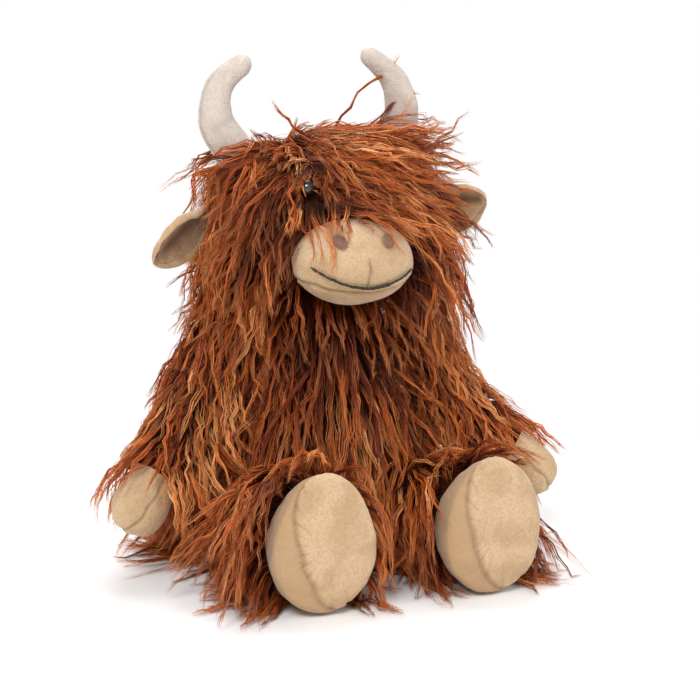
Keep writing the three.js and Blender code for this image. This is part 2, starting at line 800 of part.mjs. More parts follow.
function makeLeg(side) {
  const sign = signs[side];
  const size = 6 * legRadius;
  const spec = legSpec(sign);
  const ankle = anklePivot(sign);
  const cup = ballAt(ankle, footRootRadius + turnGap);
  const floor = blockBeyond(vec(0, 0, floorCut - legRadius), upWay.clone().negate(), size);
  const past = blockBeyond(vec(0, turnRelief - legLength, 0), frontWay, size);
  const pastFill = blockBeyond(vec(0, 2 * turnRelief - legLength, 0), frontWay, size);
  const inner = solid(softForm(coarse(spec), -legWall, legWall));
  const core = solid(softForm(coarse(spec), -legWall - fillGap, legWall));
  return [
    meshOf(`leg_${side}_sleeve`, cut(solid(softForm(spec)), inner, cup, floor, past), coat),
    meshOf(`leg_${side}_stuffing`, cut(core, cup, pastFill), fibre),
  ];
}

// Feet: an upper with a thick heel and a thin toe, closed in front by a crowned sole
function footSpec() {
  const rows = footShares.map(([out, wide, low, high]) => ({
    out: out * footDepth,
    halfWidth: footRootRadius + wide * (footHalfWidth - footRootRadius),
    bottom: -footRootRadius - low * (legRadius - footRootRadius),
    top: footRootRadius + high * (footHeight - legRadius - footRootRadius),
  }));
  const halfHeights = rows.map(({ bottom, top }) => (top - bottom) / 2);
  const middles = rows.map(({ out, bottom, top }) => vec(0, -out, (top + bottom) / 2));
  return {
    spine: [vec(0, footRootRadius, 0), ...middles],
    halfWidths: [footRootRadius, ...rows.map(({ halfWidth }) => halfWidth)],
    halfDepths: [footRootRadius, ...halfHeights],
    widthWay: acrossWay,
    rings: bigRings,
    sides: bigSides,
    ringWay: frontWay,
    eggShares: [0, ...footShares.map(([, , , , egg]) => egg * footEggShare)],
    startRound: footRootRadius,
    endRound: soleThickness,
  };
}

function makeFoot(side) {
  const size = 4 * footHeight;
  const spec = footSpec();
  const floor = blockBeyond(vec(0, 0, floorCut - legRadius), upWay.clone().negate(), size);
  const outer = solid(softForm(spec)).subtract(floor);
  const inside = { ...spec, sides: coreSides };
  const inner = solid(softForm(inside, -plushThickness));
  const seam = vec(0, -(footDepth - soleThickness), 0);
  const beforeSeam = blockBeyond(vec(0, seam.y + seamGap / 2, 0), frontWay, size);
  const behindSeam = blockBeyond(vec(0, seam.y - seamGap / 2, 0), frontWay.clone().negate(), size);
  const skin = outer.subtract(inner);
  const fill = solid(softForm(inside, -plushThickness - fillGap));
  return [
    meshOf(`foot_${side}_upper`, cut(skin, beforeSeam), plush),
    meshOf(`foot_${side}_sole`, cut(skin, behindSeam), plush),
    meshOf(`foot_${side}_stuffing`, fill, fibre),
  ];
}

const cow = new THREE.Group();
cow.add(...makeTorso());
cow.add(groupAt(neckPivot, ...makeNeck()));
const head = groupAt(neckPivot, ...makeHead(), ...makeMuzzle(), ...makeHorns());
cow.add(head);
for (const side of Object.keys(signs)) {
  const sign = signs[side];
  const ear = groupAt(earPivot(sign), ...makeEar(side));
  const droop = THREE.MathUtils.degToRad(earDroopDegs[side]);
  const forward = THREE.MathUtils.degToRad(earForwardDeg);
  ear.rotation.set(0, sign * droop, -sign * forward, "ZYX");
  head.add(ear);
  const hand = groupAt(wristPivot(sign), ...makeHand(side));
  cow.add(groupAt(shoulderPivots[side], ...makeArm(side), hand));
  const foot = groupAt(anklePivot(sign), ...makeFoot(side));
  cow.add(groupAt(hipPivots[side], ...makeLeg(side), foot));
}

export default cow;
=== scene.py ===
import math

import bmesh
import bpy
import numpy as np
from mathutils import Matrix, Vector
from mathutils.kdtree import KDTree


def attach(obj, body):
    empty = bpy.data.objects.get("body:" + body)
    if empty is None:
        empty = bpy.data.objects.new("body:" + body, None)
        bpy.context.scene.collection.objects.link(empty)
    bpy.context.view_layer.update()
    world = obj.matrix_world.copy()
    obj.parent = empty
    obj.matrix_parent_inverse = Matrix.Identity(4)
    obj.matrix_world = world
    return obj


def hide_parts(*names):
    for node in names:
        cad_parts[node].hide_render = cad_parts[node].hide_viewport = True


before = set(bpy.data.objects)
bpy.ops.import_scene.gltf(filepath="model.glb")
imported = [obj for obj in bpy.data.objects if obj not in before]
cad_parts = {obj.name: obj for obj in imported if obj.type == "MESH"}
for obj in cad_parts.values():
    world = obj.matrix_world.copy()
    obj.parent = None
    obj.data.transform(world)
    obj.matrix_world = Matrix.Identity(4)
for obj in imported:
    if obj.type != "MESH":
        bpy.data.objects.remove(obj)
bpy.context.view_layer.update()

# Lengths below are in millimetres and meshes are made in metres.
# +X is the cow's own left, and it faces -Y.
mm = 0.001
sides = {"left": 1, "right": -1}
print("frame loaded")


def unit(vectors):
    return vectors / np.maximum(np.linalg.norm(vectors, axis=-1, keepdims=True), 1e-9)


def smooth(edge0, edge1, x):
    t = np.clip((np.asarray(x, float) - edge0) / (edge1 - edge0), 0, 1)
    return t * t * (3 - 2 * t)


# A smooth wandering value between about -1 and 1 for each point
def drift(points, size, seed):
    rng = np.random.default_rng(seed)
    total = np.zeros(len(points))
    for _ in range(5):
        way = unit(rng.normal(size=3)) * rng.uniform(0.6, 1.6) * 2 * math.pi / size
        total += np.sin(points @ way + rng.uniform(0, 2 * math.pi))
    return total / 2.4


def toLinear(colour):
    part = [c / 255 for c in colour]
    return tuple(c / 12.92 if c <= 0.04045 else ((c + 0.055) / 1.055) ** 2.4 for c in part) + (1.0,)


def lengthOf(vectors):
    return np.linalg.norm(vectors, axis=-1)


# A bell round zero
def bell(x, width):
    return np.exp(-(x / width) ** 2)


# Points from their x, y and z, where one that is the same for all is a single number
def pointsFrom(*parts):
    return np.stack(np.broadcast_arrays(*parts), axis=-1)


def ringAngles(count):
    return np.linspace(0, 2 * math.pi, count, endpoint=False)


def linked(name, data):
    made = bpy.data.objects.new(name, data)
    bpy.context.scene.collection.objects.link(made)
    return made


def meshPiece(name, points, edges=(), faces=()):
    mesh = bpy.data.meshes.new(name)
    mesh.from_pydata((np.asarray(points, float) * mm).tolist(), edges, faces)
    return linked(name, mesh)


# Quads between rings of points, with each end closed to a middle
def closedForm(name, grid, material):
    rings, count, _ = grid.shape
    around = [(j, (j + 1) % count) for j in range(count)]
    base, cap = (rings - 1) * count, rings * count
    faces = [(i + j, i + k, i + count + k, i + count + j) for i in range(0, base, count) for j, k in around]
    for j, k in around:
        faces += [(cap, k, j), (cap + 1, base + j, base + k)]
    made = meshPiece(name, [*grid.reshape(-1, 3), grid[0].mean(axis=0), grid[-1].mean(axis=0)], faces=faces)
    mesh = made.data
    mesh.polygons.foreach_set("use_smooth", [True] * len(mesh.polygons))
    mesh.materials.append(material)
    work = bmesh.new()
    work.from_mesh(mesh)
    bmesh.ops.recalc_face_normals(work, faces=work.faces)
    work.to_mesh(mesh)
    work.free()
    return made


def applied(piece):
    graph = bpy.context.evaluated_depsgraph_get()
    mesh = bpy.data.meshes.new_from_object(piece.evaluated_get(graph))
    old = piece.data
    piece.modifiers.clear()
    piece.data = mesh
    bpy.data.meshes.remove(old)
    mesh.name = piece.name


def subdivide(piece, levels):
    step = piece.modifiers.new("finer", "SUBSURF")
    step.levels = step.render_levels = levels
    applied(piece)


# Places and outward ways of a piece's points
def shapeOf(piece):
    found = []
    for key in ("co", "normal"):
        values = np.empty(len(piece.data.vertices) * 3)
        piece.data.vertices.foreach_get(key, values)
        found.append(values.reshape(-1, 3))
    return found[0] / mm, found[1]


def moveTo(piece, points):
    piece.data.vertices.foreach_set("co", (points * mm).ravel())
    piece.data.update()


def store(piece, name, values):
    layer = piece.data.attributes.new(name, "FLOAT", "POINT")
    layer.data.foreach_set("value", np.asarray(values, dtype=float))


# Replaced nodes and body of a finished piece
def settle(piece, body, nodes=()):
    if nodes:
        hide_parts(*nodes)
    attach(piece, body)


# Sets a node's inputs, by value or by a link from another node's output
def feed(tree, node, inputs):
    for key, value in inputs.items():
        socket = node.inputs[key]
        if isinstance(value, bpy.types.NodeSocket):
            tree.links.new(value, socket)
        else:
            socket.default_value = value


def add(tree, kind, inputs=None, **settings):
    made = tree.nodes.new(kind)
    for key, value in settings.items():
        setattr(made, key, value)
    feed(tree, made, inputs or {})
    return made


# Makes a tree's sockets from values, or from the name of a kind that has no value here
def addSockets(tree, inOut, sockets):
    kinds = {int: "Int", float: "Float"}
    for label, value in sockets.items():
        isKind = isinstance(value, str)
        kind = "NodeSocket" + (value if isKind else kinds[type(value)])
        made = tree.interface.new_socket(label, in_out=inOut, socket_type=kind)
        if not isKind:
            made.default_value = value


def maths(tree, operation, *values):
    return add(tree, "ShaderNodeMath", dict(enumerate(values)), operation=operation).outputs[0]


def product(tree, value, *others):
    for other in others:
        value = maths(tree, "MULTIPLY", value, other)
    return value


def mixed(tree, share, low, high):
    return add(tree, "ShaderNodeMix", {0: share, 6: low, 7: high}, data_type="RGBA").outputs[2]


def ranged(tree, value, low, high, toLow=0.0, toHigh=1.0):
    inputs = {0: value, 1: low, 2: high, 3: toLow, 4: toHigh}
    return add(tree, "ShaderNodeMapRange", inputs, interpolation_type="SMOOTHSTEP").outputs[0]


def noise(tree, place, scale, detail=3.0, roughness=0.5, distortion=0.0):
    return add(tree, "ShaderNodeTexNoise", {"Vector": place, "Scale": scale, "Detail": detail,
                                            "Roughness": roughness, "Distortion": distortion}).outputs


def objectPlace(tree):
    return add(tree, "ShaderNodeTexCoord").outputs["Object"]


def bumped(tree, height, strength, distance):
    inputs = {"Height": height, "Strength": strength, "Distance": distance}
    return add(tree, "ShaderNodeBump", inputs).outputs[0]


def newMaterial(name):
    made = bpy.data.materials.new(name)
    made.use_nodes = True
    tree = made.node_tree
    tree.nodes.clear()
    shader = add(tree, "ShaderNodeBsdfPrincipled")
    add(tree, "ShaderNodeOutputMaterial", {"Surface": shader.outputs[0]})
    return made, tree, shader


# Short plush: a fine nap with swept patches
def napGroup():
    group = bpy.data.node_groups.new("shortNap", "ShaderNodeTree")
    addSockets(group, "INPUT", {"Colour": "Color", "Shade": "Color", "Light": "Color", "Pile Size": 700.0,
                                "Sweep Size": 40.0})
    addSockets(group, "OUTPUT", {"Colour": "Color", "Height": "Float"})
    inside = add(group, "NodeGroupInput").outputs
    place = objectPlace(group)
    grain = noise(group, place, inside["Pile Size"], roughness=0.7)[0]
    bend = noise(group, place, inside["Sweep Size"], distortion=0.6)[0]
    tufts = noise(group, place, 420.0, roughness=0.6)[0]
    colour = mixed(group, ranged(group, bend, 0.35, 0.6, 0.35, 1.0), inside["Shade"], inside["Colour"])
    marks = ((tufts, 0.5, 0.74, 0.3, "Light"), (tufts, 0.46, 0.3, 0.35, "Shade"),
             (grain, 0.54, 0.32, 0.65, "Shade"))
    for value, low, high, weight, tint in marks:
        colour = mixed(group, ranged(group, value, low, high, 0.0, weight), colour, inside[tint])
    height = maths(group, "ADD", grain, maths(group, "MULTIPLY", tufts, 0.8))
    add(group, "NodeGroupOutput", {"Colour": colour, "Height": height})
    return group


shortNap = napGroup()
# Each plush: its nap colour, the colour of its darker patches and of painted shade on turned panels, the
# colour of its lighter patches, the darker colour of seams and creases with their painted shade, and its
# sheen
plushFinishes = {
    "tanPlush": {"colour": (211, 181, 145), "shade": (182, 148, 110), "light": (228, 204, 170),
                 "seamAndShade": (128, 92, 60), "sheen": 0.25},
    "hornPlush": {"colour": (212, 199, 188), "shade": (186, 170, 158), "light": (230, 220, 211),
                  "seamAndShade": (150, 132, 120), "sheen": 0.2},
    # The ear lining is the tan plush painted a little darker, as the shade inside the ear, and its seam
    # colour is the painted shade deep in the ear's hollow
    "earLining": {"colour": (208, 176, 138), "shade": (178, 142, 104), "light": (224, 196, 160),
                  "seamAndShade": (92, 60, 38), "sheen": 0.3},
}


# The nap's colour turns to its shade colour on turned panels, as painted shade where they face from
# the light, and to a darker one along seams and creases, partly the seam line and partly painted shade.
def plushMaterial(name, finish):
    made, tree, shader = newMaterial(name)
    tints = {label: toLinear(finish[label.lower()]) for label in ("Colour", "Shade", "Light")}
    nap = add(tree, "ShaderNodeGroup", tints, node_tree=shortNap)
    colour = nap.outputs["Colour"]
    for attribute, weight, tint in (("panel", 0.8, "shade"), ("seamAndShade", 0.85, "seamAndShade")):
        share = add(tree, "ShaderNodeAttribute", attribute_name=attribute).outputs["Fac"]
        colour = mixed(tree, maths(tree, "MULTIPLY", share, weight), colour, toLinear(finish[tint]))
    feed(tree, shader, {"Base Color": colour, "Normal": bumped(tree, nap.outputs["Height"], 0.8, 0.0009),
                        "Roughness": 0.9, "Specular IOR Level": 0.2, "Sheen Weight": finish["sheen"],
                        "Sheen Roughness": 0.4})
    return made


tanPlush, hornPlush, earLining = (plushMaterial(*entry) for entry in plushFinishes.items())
plainFinishes = {
    # The backing cloth under the pile is painted dark brown, as the shade deep in the pile
    "backingCloth": {"colour": (74, 29, 10), "second": (30, 11, 4), "scale": 320, "rough": 0.95,
                     "bump": 0.0012, "shine": 0.08},
    "nostrilThread": {"colour": (150, 112, 88), "second": (112, 78, 60), "scale": 900, "rough": 0.6},
    "smileThread": {"colour": (34, 27, 24), "second": (16, 13, 12), "scale": 900, "rough": 0.55},
    "eyeGloss": {"colour": (12, 9, 8), "second": (20, 14, 11), "scale": 60, "rough": 0.03, "bump": 0.00001,
                 "shine": 1.0},
    "washerPlastic": {"colour": (226, 224, 218), "second": (212, 209, 200), "scale": 400, "rough": 0.45},
}


def plainMaterial(name, finish):
    made, tree, shader = newMaterial(name)
    grain = noise(tree, objectPlace(tree), finish["scale"])[0]
    colour = mixed(tree, grain, toLinear(finish["colour"]), toLinear(finish["second"]))
    bump = bumped(tree, grain, 0.4, finish.get("bump", 0.0003))
    feed(tree, shader, {"Base Color": colour, "Normal": bump, "Roughness": finish["rough"],
                        "Specular IOR Level": finish.get("shine", 0.5)})
    return made


backingCloth, nostrilThread, smileThread, eyeGloss, washerPlastic = (
    plainMaterial(*entry) for entry in plainFinishes.items())
# The pile's colours: its tones from deepest to lightest, painted shade at the root, a dark for streaks, and
# painted light at the tip; and the steps of each lock
fur = {"root": (44, 16, 5), "dark": (136, 56, 17), "tip": (238, 153, 90), "steps": 8,
       "tones": {0.0: (86, 33, 10), 0.3: (136, 56, 17), 0.55: (192, 92, 35), 0.8: (224, 126, 58),
                 1.0: (244, 176, 112)}}


# Long pile: its colour follows only the strand's own map, tone across and length along. It darkens towards
# the root as painted shade deep in the pile and lightens towards the tip as painted light on the outer ends;
# its dark streaks differ at random
def furMaterial():
    made, tree, shader = newMaterial("longPile")
    place = add(tree, "ShaderNodeUVMap", uv_map="OFBake").outputs[0]
    tone, length = add(tree, "ShaderNodeSeparateXYZ", {0: place}).outputs[:2]
    ramp = add(tree, "ShaderNodeValToRGB", {0: tone})
    marks = ramp.color_ramp.elements
    ends = {0.0: 0, 1.0: -1}
    for position, colour in fur["tones"].items():
        mark = marks[ends[position]] if position in ends else marks.new(position)
        mark.color = toLinear(colour)
    wave = noise(tree, place, 22.0, 2.0)[0]
    colour = mixed(tree, ranged(tree, length, 0.05, 0.5), toLinear(fur["root"]), ramp.outputs[0])
    for value, low, high, weight, tint in ((length, 0.55, 1.0, 0.5, "tip"), (wave, 0.45, 0.7, 0.4, "dark")):
        colour = mixed(tree, ranged(tree, value, low, high, 0.0, weight), colour, toLinear(fur[tint]))
    feed(tree, shader, {"Base Color": colour, "Roughness": 0.5, "Specular IOR Level": 0.28})
    return made


longPile = furMaterial()
print("finishes ready")

# The forms under the coat
torso = {
    "rise": [0, 10.4, 34.8, 62.6, 87, 111.4, 139.2, 174],
    "wide": [100.7, 104.5, 97.9, 86.5, 74.1, 67.5, 54.2, 42.8],
    "deep": [86.9, 88.6, 84.5, 77.9, 72.2, 67.2, 57.4, 42.6],
    "back": [5.7, 6.6, 3.3, 2.5, 2.5, 3.3, 4.9, 4.1],
    "pile": 13, "from": 3.5, "to": 170,
}
head = {
    "rise": [190.2, 203, 217.8, 233.7, 253.8],
    "wide": [97, 95, 88.3, 82.5, 75],
    "deep": [79.5, 82, 81.2, 78, 72],
    "from": 190, "tall": 93.5, "domeFrom": 250, "domeHigh": 34, "lean": 5, "leanBetween": (283, 240),
    "underShares": [(0.5, 186.5), (0.68, 186.8), (0.84, 187.5), (0.94, 188.6)],
    "middle": (4, -6, 205), "radii": (79, 68, 75), "pile": 13,
}
neck = {"middle": (0, -6, 186), "radii": (35, 35, 35),
        "rings": {166: 29, 176: 33, 186: 34.5, 196: 33, 206: 29}}
muzzle = {"middle": (0, -79, 207), "radii": (43, 33, 30), "fullness": 0.9}
arm = {"line": ((69, -6, 150), (91.4, -23.9, 108.5), (128, -53, 67)), "radii": (18.5, 17, 16)}
# A leg's places are shares of its run from the hip, and both legs lean a little to the cow's left
leg = {"hip": (54, -78, 42.5), "run": (3, -56), "places": (0, 0.54, 0.93), "lean": 5, "radii": (20, 31, 31)}
foot = {"middle": (57, -152, 45), "radii": (34, 24, 45)}
hand = {"way": (0.585, -0.466, -0.664), "length": 26, "radii": (18, 20)}
eye = {"place": (25, -60, 255), "radius": 6, "edge": 5.4, "shank": 1.6, "shankLong": 9}
ear = {
    "root": (89.4, -12, 238), "forward": 22,
    "left": {"lower": 0, "droop": -3, "roll": 34, "reach": 38, "open": 1, "flap": 1, "clearFrom": 19},
    "right": {"lower": 8, "droop": 36, "roll": 18, "reach": 43, "open": 0.62, "flap": 1.25, "clearFrom": 6},
}
horns = {
    "left": [(46.9, -4.4, 258), (56.4, -4.4, 280.1), (65.8, -6, 303.9), (60.8, -6, 325.2), (35, -6, 348.1)],
    "right": [(-46.9, -4.4, 258), (-59.5, -4.4, 278.5), (-72.2, -6, 300.7), (-70.3, -6, 320.4),
              (-47.8, -6, 341.7)],
    "radii": [14.9, 14.5, 13.1, 10.8, 7.3], "cap": 8.5, "sewnBelow": 262,
}
# From the cow to the camera
viewWay = unit(np.array([-0.34, -0.93, 0.12]))


def mirrored(point, sign):
    return np.array([sign * point[0], point[1], point[2]], float)


def armPoints(sign):
    return [mirrored(point, sign) for point in arm["line"]]


def legPoints(sign):
    (x, y, z), (out, ahead) = leg["hip"], leg["run"]
    return [np.array([sign * (x + out * t) + leg["lean"] * t, y + ahead * t, z]) for t in leg["places"]]


def footMiddle(sign):
    return mirrored(foot["middle"], sign) + np.array([leg["lean"], 0, 0])


def turnAbout(axis, degrees):
    c, s = math.cos(math.radians(degrees)), math.sin(math.radians(degrees))
    made = np.eye(3)
    j, k = (axis + 1) % 3, (axis + 2) % 3
    made[j, j], made[j, k], made[k, j], made[k, k] = c, -s, s, c
    return made


# The same turn as the CAD group's: droop, then forward
def earTurn(side):
    return turnAbout(2, -sides[side] * ear["forward"]) @ turnAbout(1, sides[side] * ear[side]["droop"])


def earPivot(side):
    return mirrored(ear["root"], sides[side]) - np.array([0, 0, ear[side]["lower"]])


def earWay(side):
    return earTurn(side) @ np.array([sides[side], 0.0, 0.0])


# The torso's half sizes and its middle at a height, under the pile, which is thinner at the shoulders
def pearHalves(z):
    pile = torso["pile"] - 6 * smooth(105, 145, z)
    wide = np.interp(z, torso["rise"], torso["wide"]) - pile
    deep = np.interp(z, torso["rise"], torso["deep"]) - pile
    return wide, deep, np.interp(z, torso["rise"], torso["back"])


def torsoGrid(rings=30, count=48):
    angle = ringAngles(count)
    grid = []
    for z in np.linspace(torso["from"], torso["to"], rings):
        wide, deep, back = pearHalves(z)
        grid.append(pointsFrom(wide * np.cos(angle), back + deep * np.sin(angle), z))
    return np.array(grid)


# The head's lower side is nearly flat, and its own rings close it under the chin
def headGrid(rings=26, count=48):
    angle = ringAngles(count)
    heights = head["from"] + head["tall"] * np.sin(np.linspace(0, math.pi / 2, rings))
    grid = []
    for share, z in head["underShares"] + [(1, z) for z in heights]:
        lean = head["lean"] * float(smooth(*head["leanBetween"], z))
        dome = math.sqrt(1 - max(0.0, (z - head["domeFrom"]) / head["domeHigh"]) ** 2)
        level = np.clip(z, head["from"], head["domeFrom"])
        wide, deep = ((np.interp(level, head["rise"], head[key]) - head["pile"]) * dome
                      for key in ("wide", "deep"))
        x = lean + (wide - lean) * share * np.cos(angle)
        grid.append(pointsFrom(x, head["middle"][1] + deep * share * np.sin(angle), z))
    return np.array(grid)


# Rings round a line of points. Round ends are made by the radii.
def tubeGrid(line, radii, count, across=(0, 0, 1)):
    line, radii = np.asarray(line, float), np.asarray(radii, float)
    angle = ringAngles(count)
    grid = []
    for point, tangent, size in zip(line, unit(np.gradient(line, axis=0)), radii):
        side = np.cross(tangent, across)
        side = side / lengthOf(side)
        up = np.cross(side, tangent)
        wide, high = np.broadcast_to(size, 2)
        grid.append(point + np.outer(np.cos(angle) * wide, side) + np.outer(np.sin(angle) * high, up))
    return np.array(grid)


# Points on a smooth curve through a few, with a value for each
def curved(points, count, values=None):
    points = np.asarray(points, float)
    gaps = lengthOf(np.diff(points, axis=0))
    knots = np.concatenate([[0], np.cumsum(gaps)])
    at = np.linspace(0, knots[-1], count)
    slopes = np.gradient(points, knots, axis=0)
    i = np.clip(np.searchsorted(knots, at, side="right") - 1, 0, len(knots) - 2)
    step = (knots[i + 1] - knots[i])[:, None]
    t = (at - knots[i])[:, None] / step
    a, b, ma, mb = points[i], points[i + 1], slopes[i] * step, slopes[i + 1] * step
    line = (2 * t**3 - 3 * t**2 + 1) * a + (t**3 - 2 * t**2 + t) * ma
    line = line + (3 * t**2 - 2 * t**3) * b + (t**3 - t**2) * mb
    return line if values is None else (line, np.interp(at, knots, values))


# A limb's tube with round ends
def limbGrid(points, radii, count=24, rings=14):
    line, thick = curved(points, rings, radii)
    turns = np.linspace(0.25, 1.45, 5)
    caps = []
    for end, inner in ((0, 1), (-1, -2)):
        away = unit(line[end] - line[inner])
        caps.append(([line[end] + away * thick[end] * math.sin(t) * 0.9 for t in turns],
                     [thick[end] * math.cos(t) for t in turns]))
    (startAt, startSize), (endAt, endSize) = caps
    steep = abs(unit(line[-1] - line[0])[2]) >= 0.9
    return tubeGrid(startAt[::-1] + list(line) + endAt, startSize[::-1] + list(thick) + endSize, count,
                    across=(0, 1, 0) if steep else (0.13, 0.37, 0.9))


# What the strands stay out of: each function gives how far outside points are, and the way out
def ellipsoidGap(points, middle, radii):
    away = points - np.asarray(middle, float)
    radii = np.asarray(radii, float)
    near = lengthOf(away / radii)
    steep = away / radii**2
    slope = np.maximum(lengthOf(steep), 1e-6)
    return near * (near - 1) / slope, steep / slope[:, None]


def capsuleGap(points, start, end, radii):
    start, end = np.asarray(start, float), np.asarray(end, float)
    along = end - start
    t = np.clip((points - start) @ along / (along @ along), 0, 1)
    away = points - start - t[:, None] * along
    far = lengthOf(away)
    return far - (radii[0] + t * (radii[1] - radii[0])), away / np.maximum(far, 1e-6)[:, None]


def pearGap(points):
    wide, deep, back = pearHalves(points[:, 2])
    y = points[:, 1] - back
    steep = pointsFrom(points[:, 0] / wide**2, y / deep**2, 0.0)
    near = np.sqrt((points[:, 0] / wide) ** 2 + (y / deep) ** 2)
    slope = np.maximum(lengthOf(steep), 1e-6)
    gap = near * (near - 1) / slope
    over = points[:, 2] > torso["rise"][-1]
    gap[over] = np.maximum(gap[over], points[over, 2] - torso["rise"][-1])
    return gap, steep / slope[:, None]


def obstacles():
    found = [("torso", pearGap)]

    def ball(name, middle, radii):
        found.append((name, lambda p: ellipsoidGap(p, middle, radii)))

    def spans(name, line, radii):
        for i in range(len(line) - 1):
            found.append((name, lambda p, i=i: capsuleGap(p, line[i], line[i + 1], radii[i:i + 2])))

    for name, form in (("head", head), ("neck", neck), ("muzzle", muzzle)):
        ball(name, form["middle"], form["radii"])
    for side, sign in sides.items():
        wrist = armPoints(sign)[2]
        spans(f"arm_{side}", armPoints(sign), arm["radii"])
        spans(f"hand_{side}", [wrist, wrist + mirrored(hand["way"], sign) * hand["length"]], hand["radii"])
        spans(f"leg_{side}", legPoints(sign), leg["radii"])
        ball(f"foot_{side}", footMiddle(sign), foot["radii"])
    for side in sides:
        spans(f"horn_{side}", horns[side][:3], horns["radii"])
    return found


# Evenly spread points on a grid of quads, with the surface's outward way at each
def spreadRoots(grid, count, seed, keep):
    rng = np.random.default_rng(seed)
    a, b = grid[:-1], np.roll(grid[:-1], -1, axis=1)
    d, c = grid[1:], np.roll(grid[1:], -1, axis=1)
    across = np.cross(c - a, d - b)
    area = lengthOf(across)
    middle = (a + b + c + d) / 4
    weight = (area * keep(middle.reshape(-1, 3)).reshape(area.shape)).ravel()
    total = np.cumsum(weight) / weight.sum()
    picks = np.searchsorted(total, (np.arange(count) + rng.random(count)) / count)
    i, j = np.unravel_index(np.clip(picks, 0, len(total) - 1), area.shape)
    u, v = rng.random((2, count, 1))
    points = (1 - u) * (1 - v) * a[i, j] + u * (1 - v) * b[i, j] + u * v * c[i, j] + (1 - u) * v * d[i, j]
    outwards = unit(across[i, j])
    centre = grid.reshape(-1, 3).mean(axis=0)
    flip = np.sign(np.einsum("ij,ij->i", outwards, points - centre))
    return points, outwards * flip[:, None]


# How a lock grows from its root: how deep that lies, how soon the lock takes its layer, how it is pushed out
# of what it meets and drawn back to it, and how it comes to rest on the floor
growth = {"sunk": 1.5, "settles": 3.5, "least": 0.4, "bareShare": 0.15, "bareLeast": 1.2, "push": 1.6,
          "turnAway": 0.9, "slack": 2, "pull": 0.7, "floor": 0.8, "floorShare": 0.25, "dip": -0.05}


def growLocks(roots, outwards, comb, length, high, pile, seed):
    rng = np.random.default_rng(seed)
    count, steps = len(roots), fur["steps"]
    points = np.empty((count, steps + 1, 3))
    points[:, 0] = roots - outwards * growth["sunk"]
    least, most = pile["layer"]
    layer = (least + high * (most - least)) * pile["close"](roots)
    ease = pile["ease"](roots)
    lift = rng.uniform(*pile["lift"], count)[:, None]
    wander = unit(rng.normal(size=(count, 3))) * pile["wander"]
    heading = unit(outwards * lift + comb + wander)
    aim = unit(comb + wander * 0.6)
    curl = rng.normal(size=(count, 3)) * pile["curl"] * np.array([1, 1, 0.6])
    walls = obstacles()
    pace = length / steps
    for k in range(1, steps + 1):
        t = k / steps
        fall = (pile["fall"] * t * ease)[:, None]
        heading = unit(heading + aim * pile["hold"] + curl * t + np.array([0, 0, -1.0]) * fall)
        here = points[:, k - 1] + heading * pace[:, None]
        room = layer * (1 - math.exp(-growth["settles"] * t)) + growth["least"]
        nearest, towards = np.full(count, 1e3), np.zeros((count, 3))
        for name, gapOf in walls:
            gap, away = gapOf(here)
            closer = (gap < nearest)[:, None]
            nearest, towards = np.minimum(gap, nearest), np.where(closer, -away, towards)
            need = room * growth["bareShare"] + growth["bareLeast"] if name in pile["bare"] else room
            short = np.clip(need - gap, 0, pace * growth["push"])
            here = here + away * short[:, None]
            into = np.minimum(0, np.einsum("ij,ij->i", heading, away)) * (short > 0)
            heading = heading - away * (into * growth["turnAway"])[:, None]
        loose = np.clip(nearest - room - growth["slack"], 0, pace * growth["pull"]) * pile["cling"]
        here = here + towards * loose[:, None]
        ground = growth["floor"] + layer * growth["floorShare"]
        low = here[:, 2] < ground
        here[low, 2] = ground[low]
        heading[low, 2] = np.maximum(heading[low, 2], growth["dip"])
        heading = unit(heading)
        points[:, k] = here
    return waved(points, length, pile, rng)


# Crimps each lock sideways, more towards its end
def waved(points, length, pile, rng):
    count, rows, _ = points.shape
    tangent = unit(np.gradient(points, axis=1))
    side = unit(np.cross(tangent, unit(rng.normal(size=(count, 1, 3)))))
    other = np.cross(tangent, side)
    t = np.linspace(0, 1, rows)[None, :]
    wavelength = rng.uniform(*pile["wavelength"], count)[:, None]
    size = rng.uniform(*pile["wave"], count)[:, None] * np.minimum(1, 2.5 * t)
    phase = rng.uniform(0, 2 * math.pi, (count, 1))
    turn = 2 * math.pi * (t * length[:, None]) / wavelength + phase
    moved = points + side * (size * np.sin(turn))[..., None]
    moved = moved + other * (0.6 * size * np.cos(0.83 * turn + phase))[..., None]
    moved[..., 2] = np.maximum(moved[..., 2], 0.7)
    return moved


coatRoom = {"low": (-173, -189, 0), "high": (173, 103, 360)}


# Locks that would reach past the coat's room are drawn in towards their roots
def drawnIn(points):
    low, high = np.array(coatRoom["low"], float), np.array(coatRoom["high"], float)
    root = points[:, :1]
    past = np.maximum(np.maximum(low - points, points - high), 0)
    reach = np.maximum(np.abs(points - root), 1e-6)
    share = (past / reach).max(axis=(1, 2))[:, None, None]
    return root + (points - root) * (1 - share)


# What every lock is made of: its strands, and the columns of the tone map
strand = {"Strands": 6, "Spread": 2.3 * mm, "Gather": 0.8, "Thickness": 0.405 * mm, "Frizz": 1.7 * mm,
          "Tones": 16.0, "Seed": 1}


def named(tree, name):
    made = add(tree, "GeometryNodeInputNamedAttribute", {"Name": name}, data_type="FLOAT")
    return made.outputs["Attribute"]


def keepNamed(tree, geometry, name, value, kind="FLOAT", domain="POINT"):
    inputs = {"Geometry": geometry, "Name": name, "Value": value}
    return add(tree, "GeometryNodeStoreNamedAttribute", inputs, data_type=kind, domain=domain).outputs[0]


def circle(tree, sideCount):
    inputs = {"Resolution": sideCount, "Radius": 1.0}
    return add(tree, "GeometryNodeCurvePrimitiveCircle", inputs, mode="RADIUS").outputs[0]


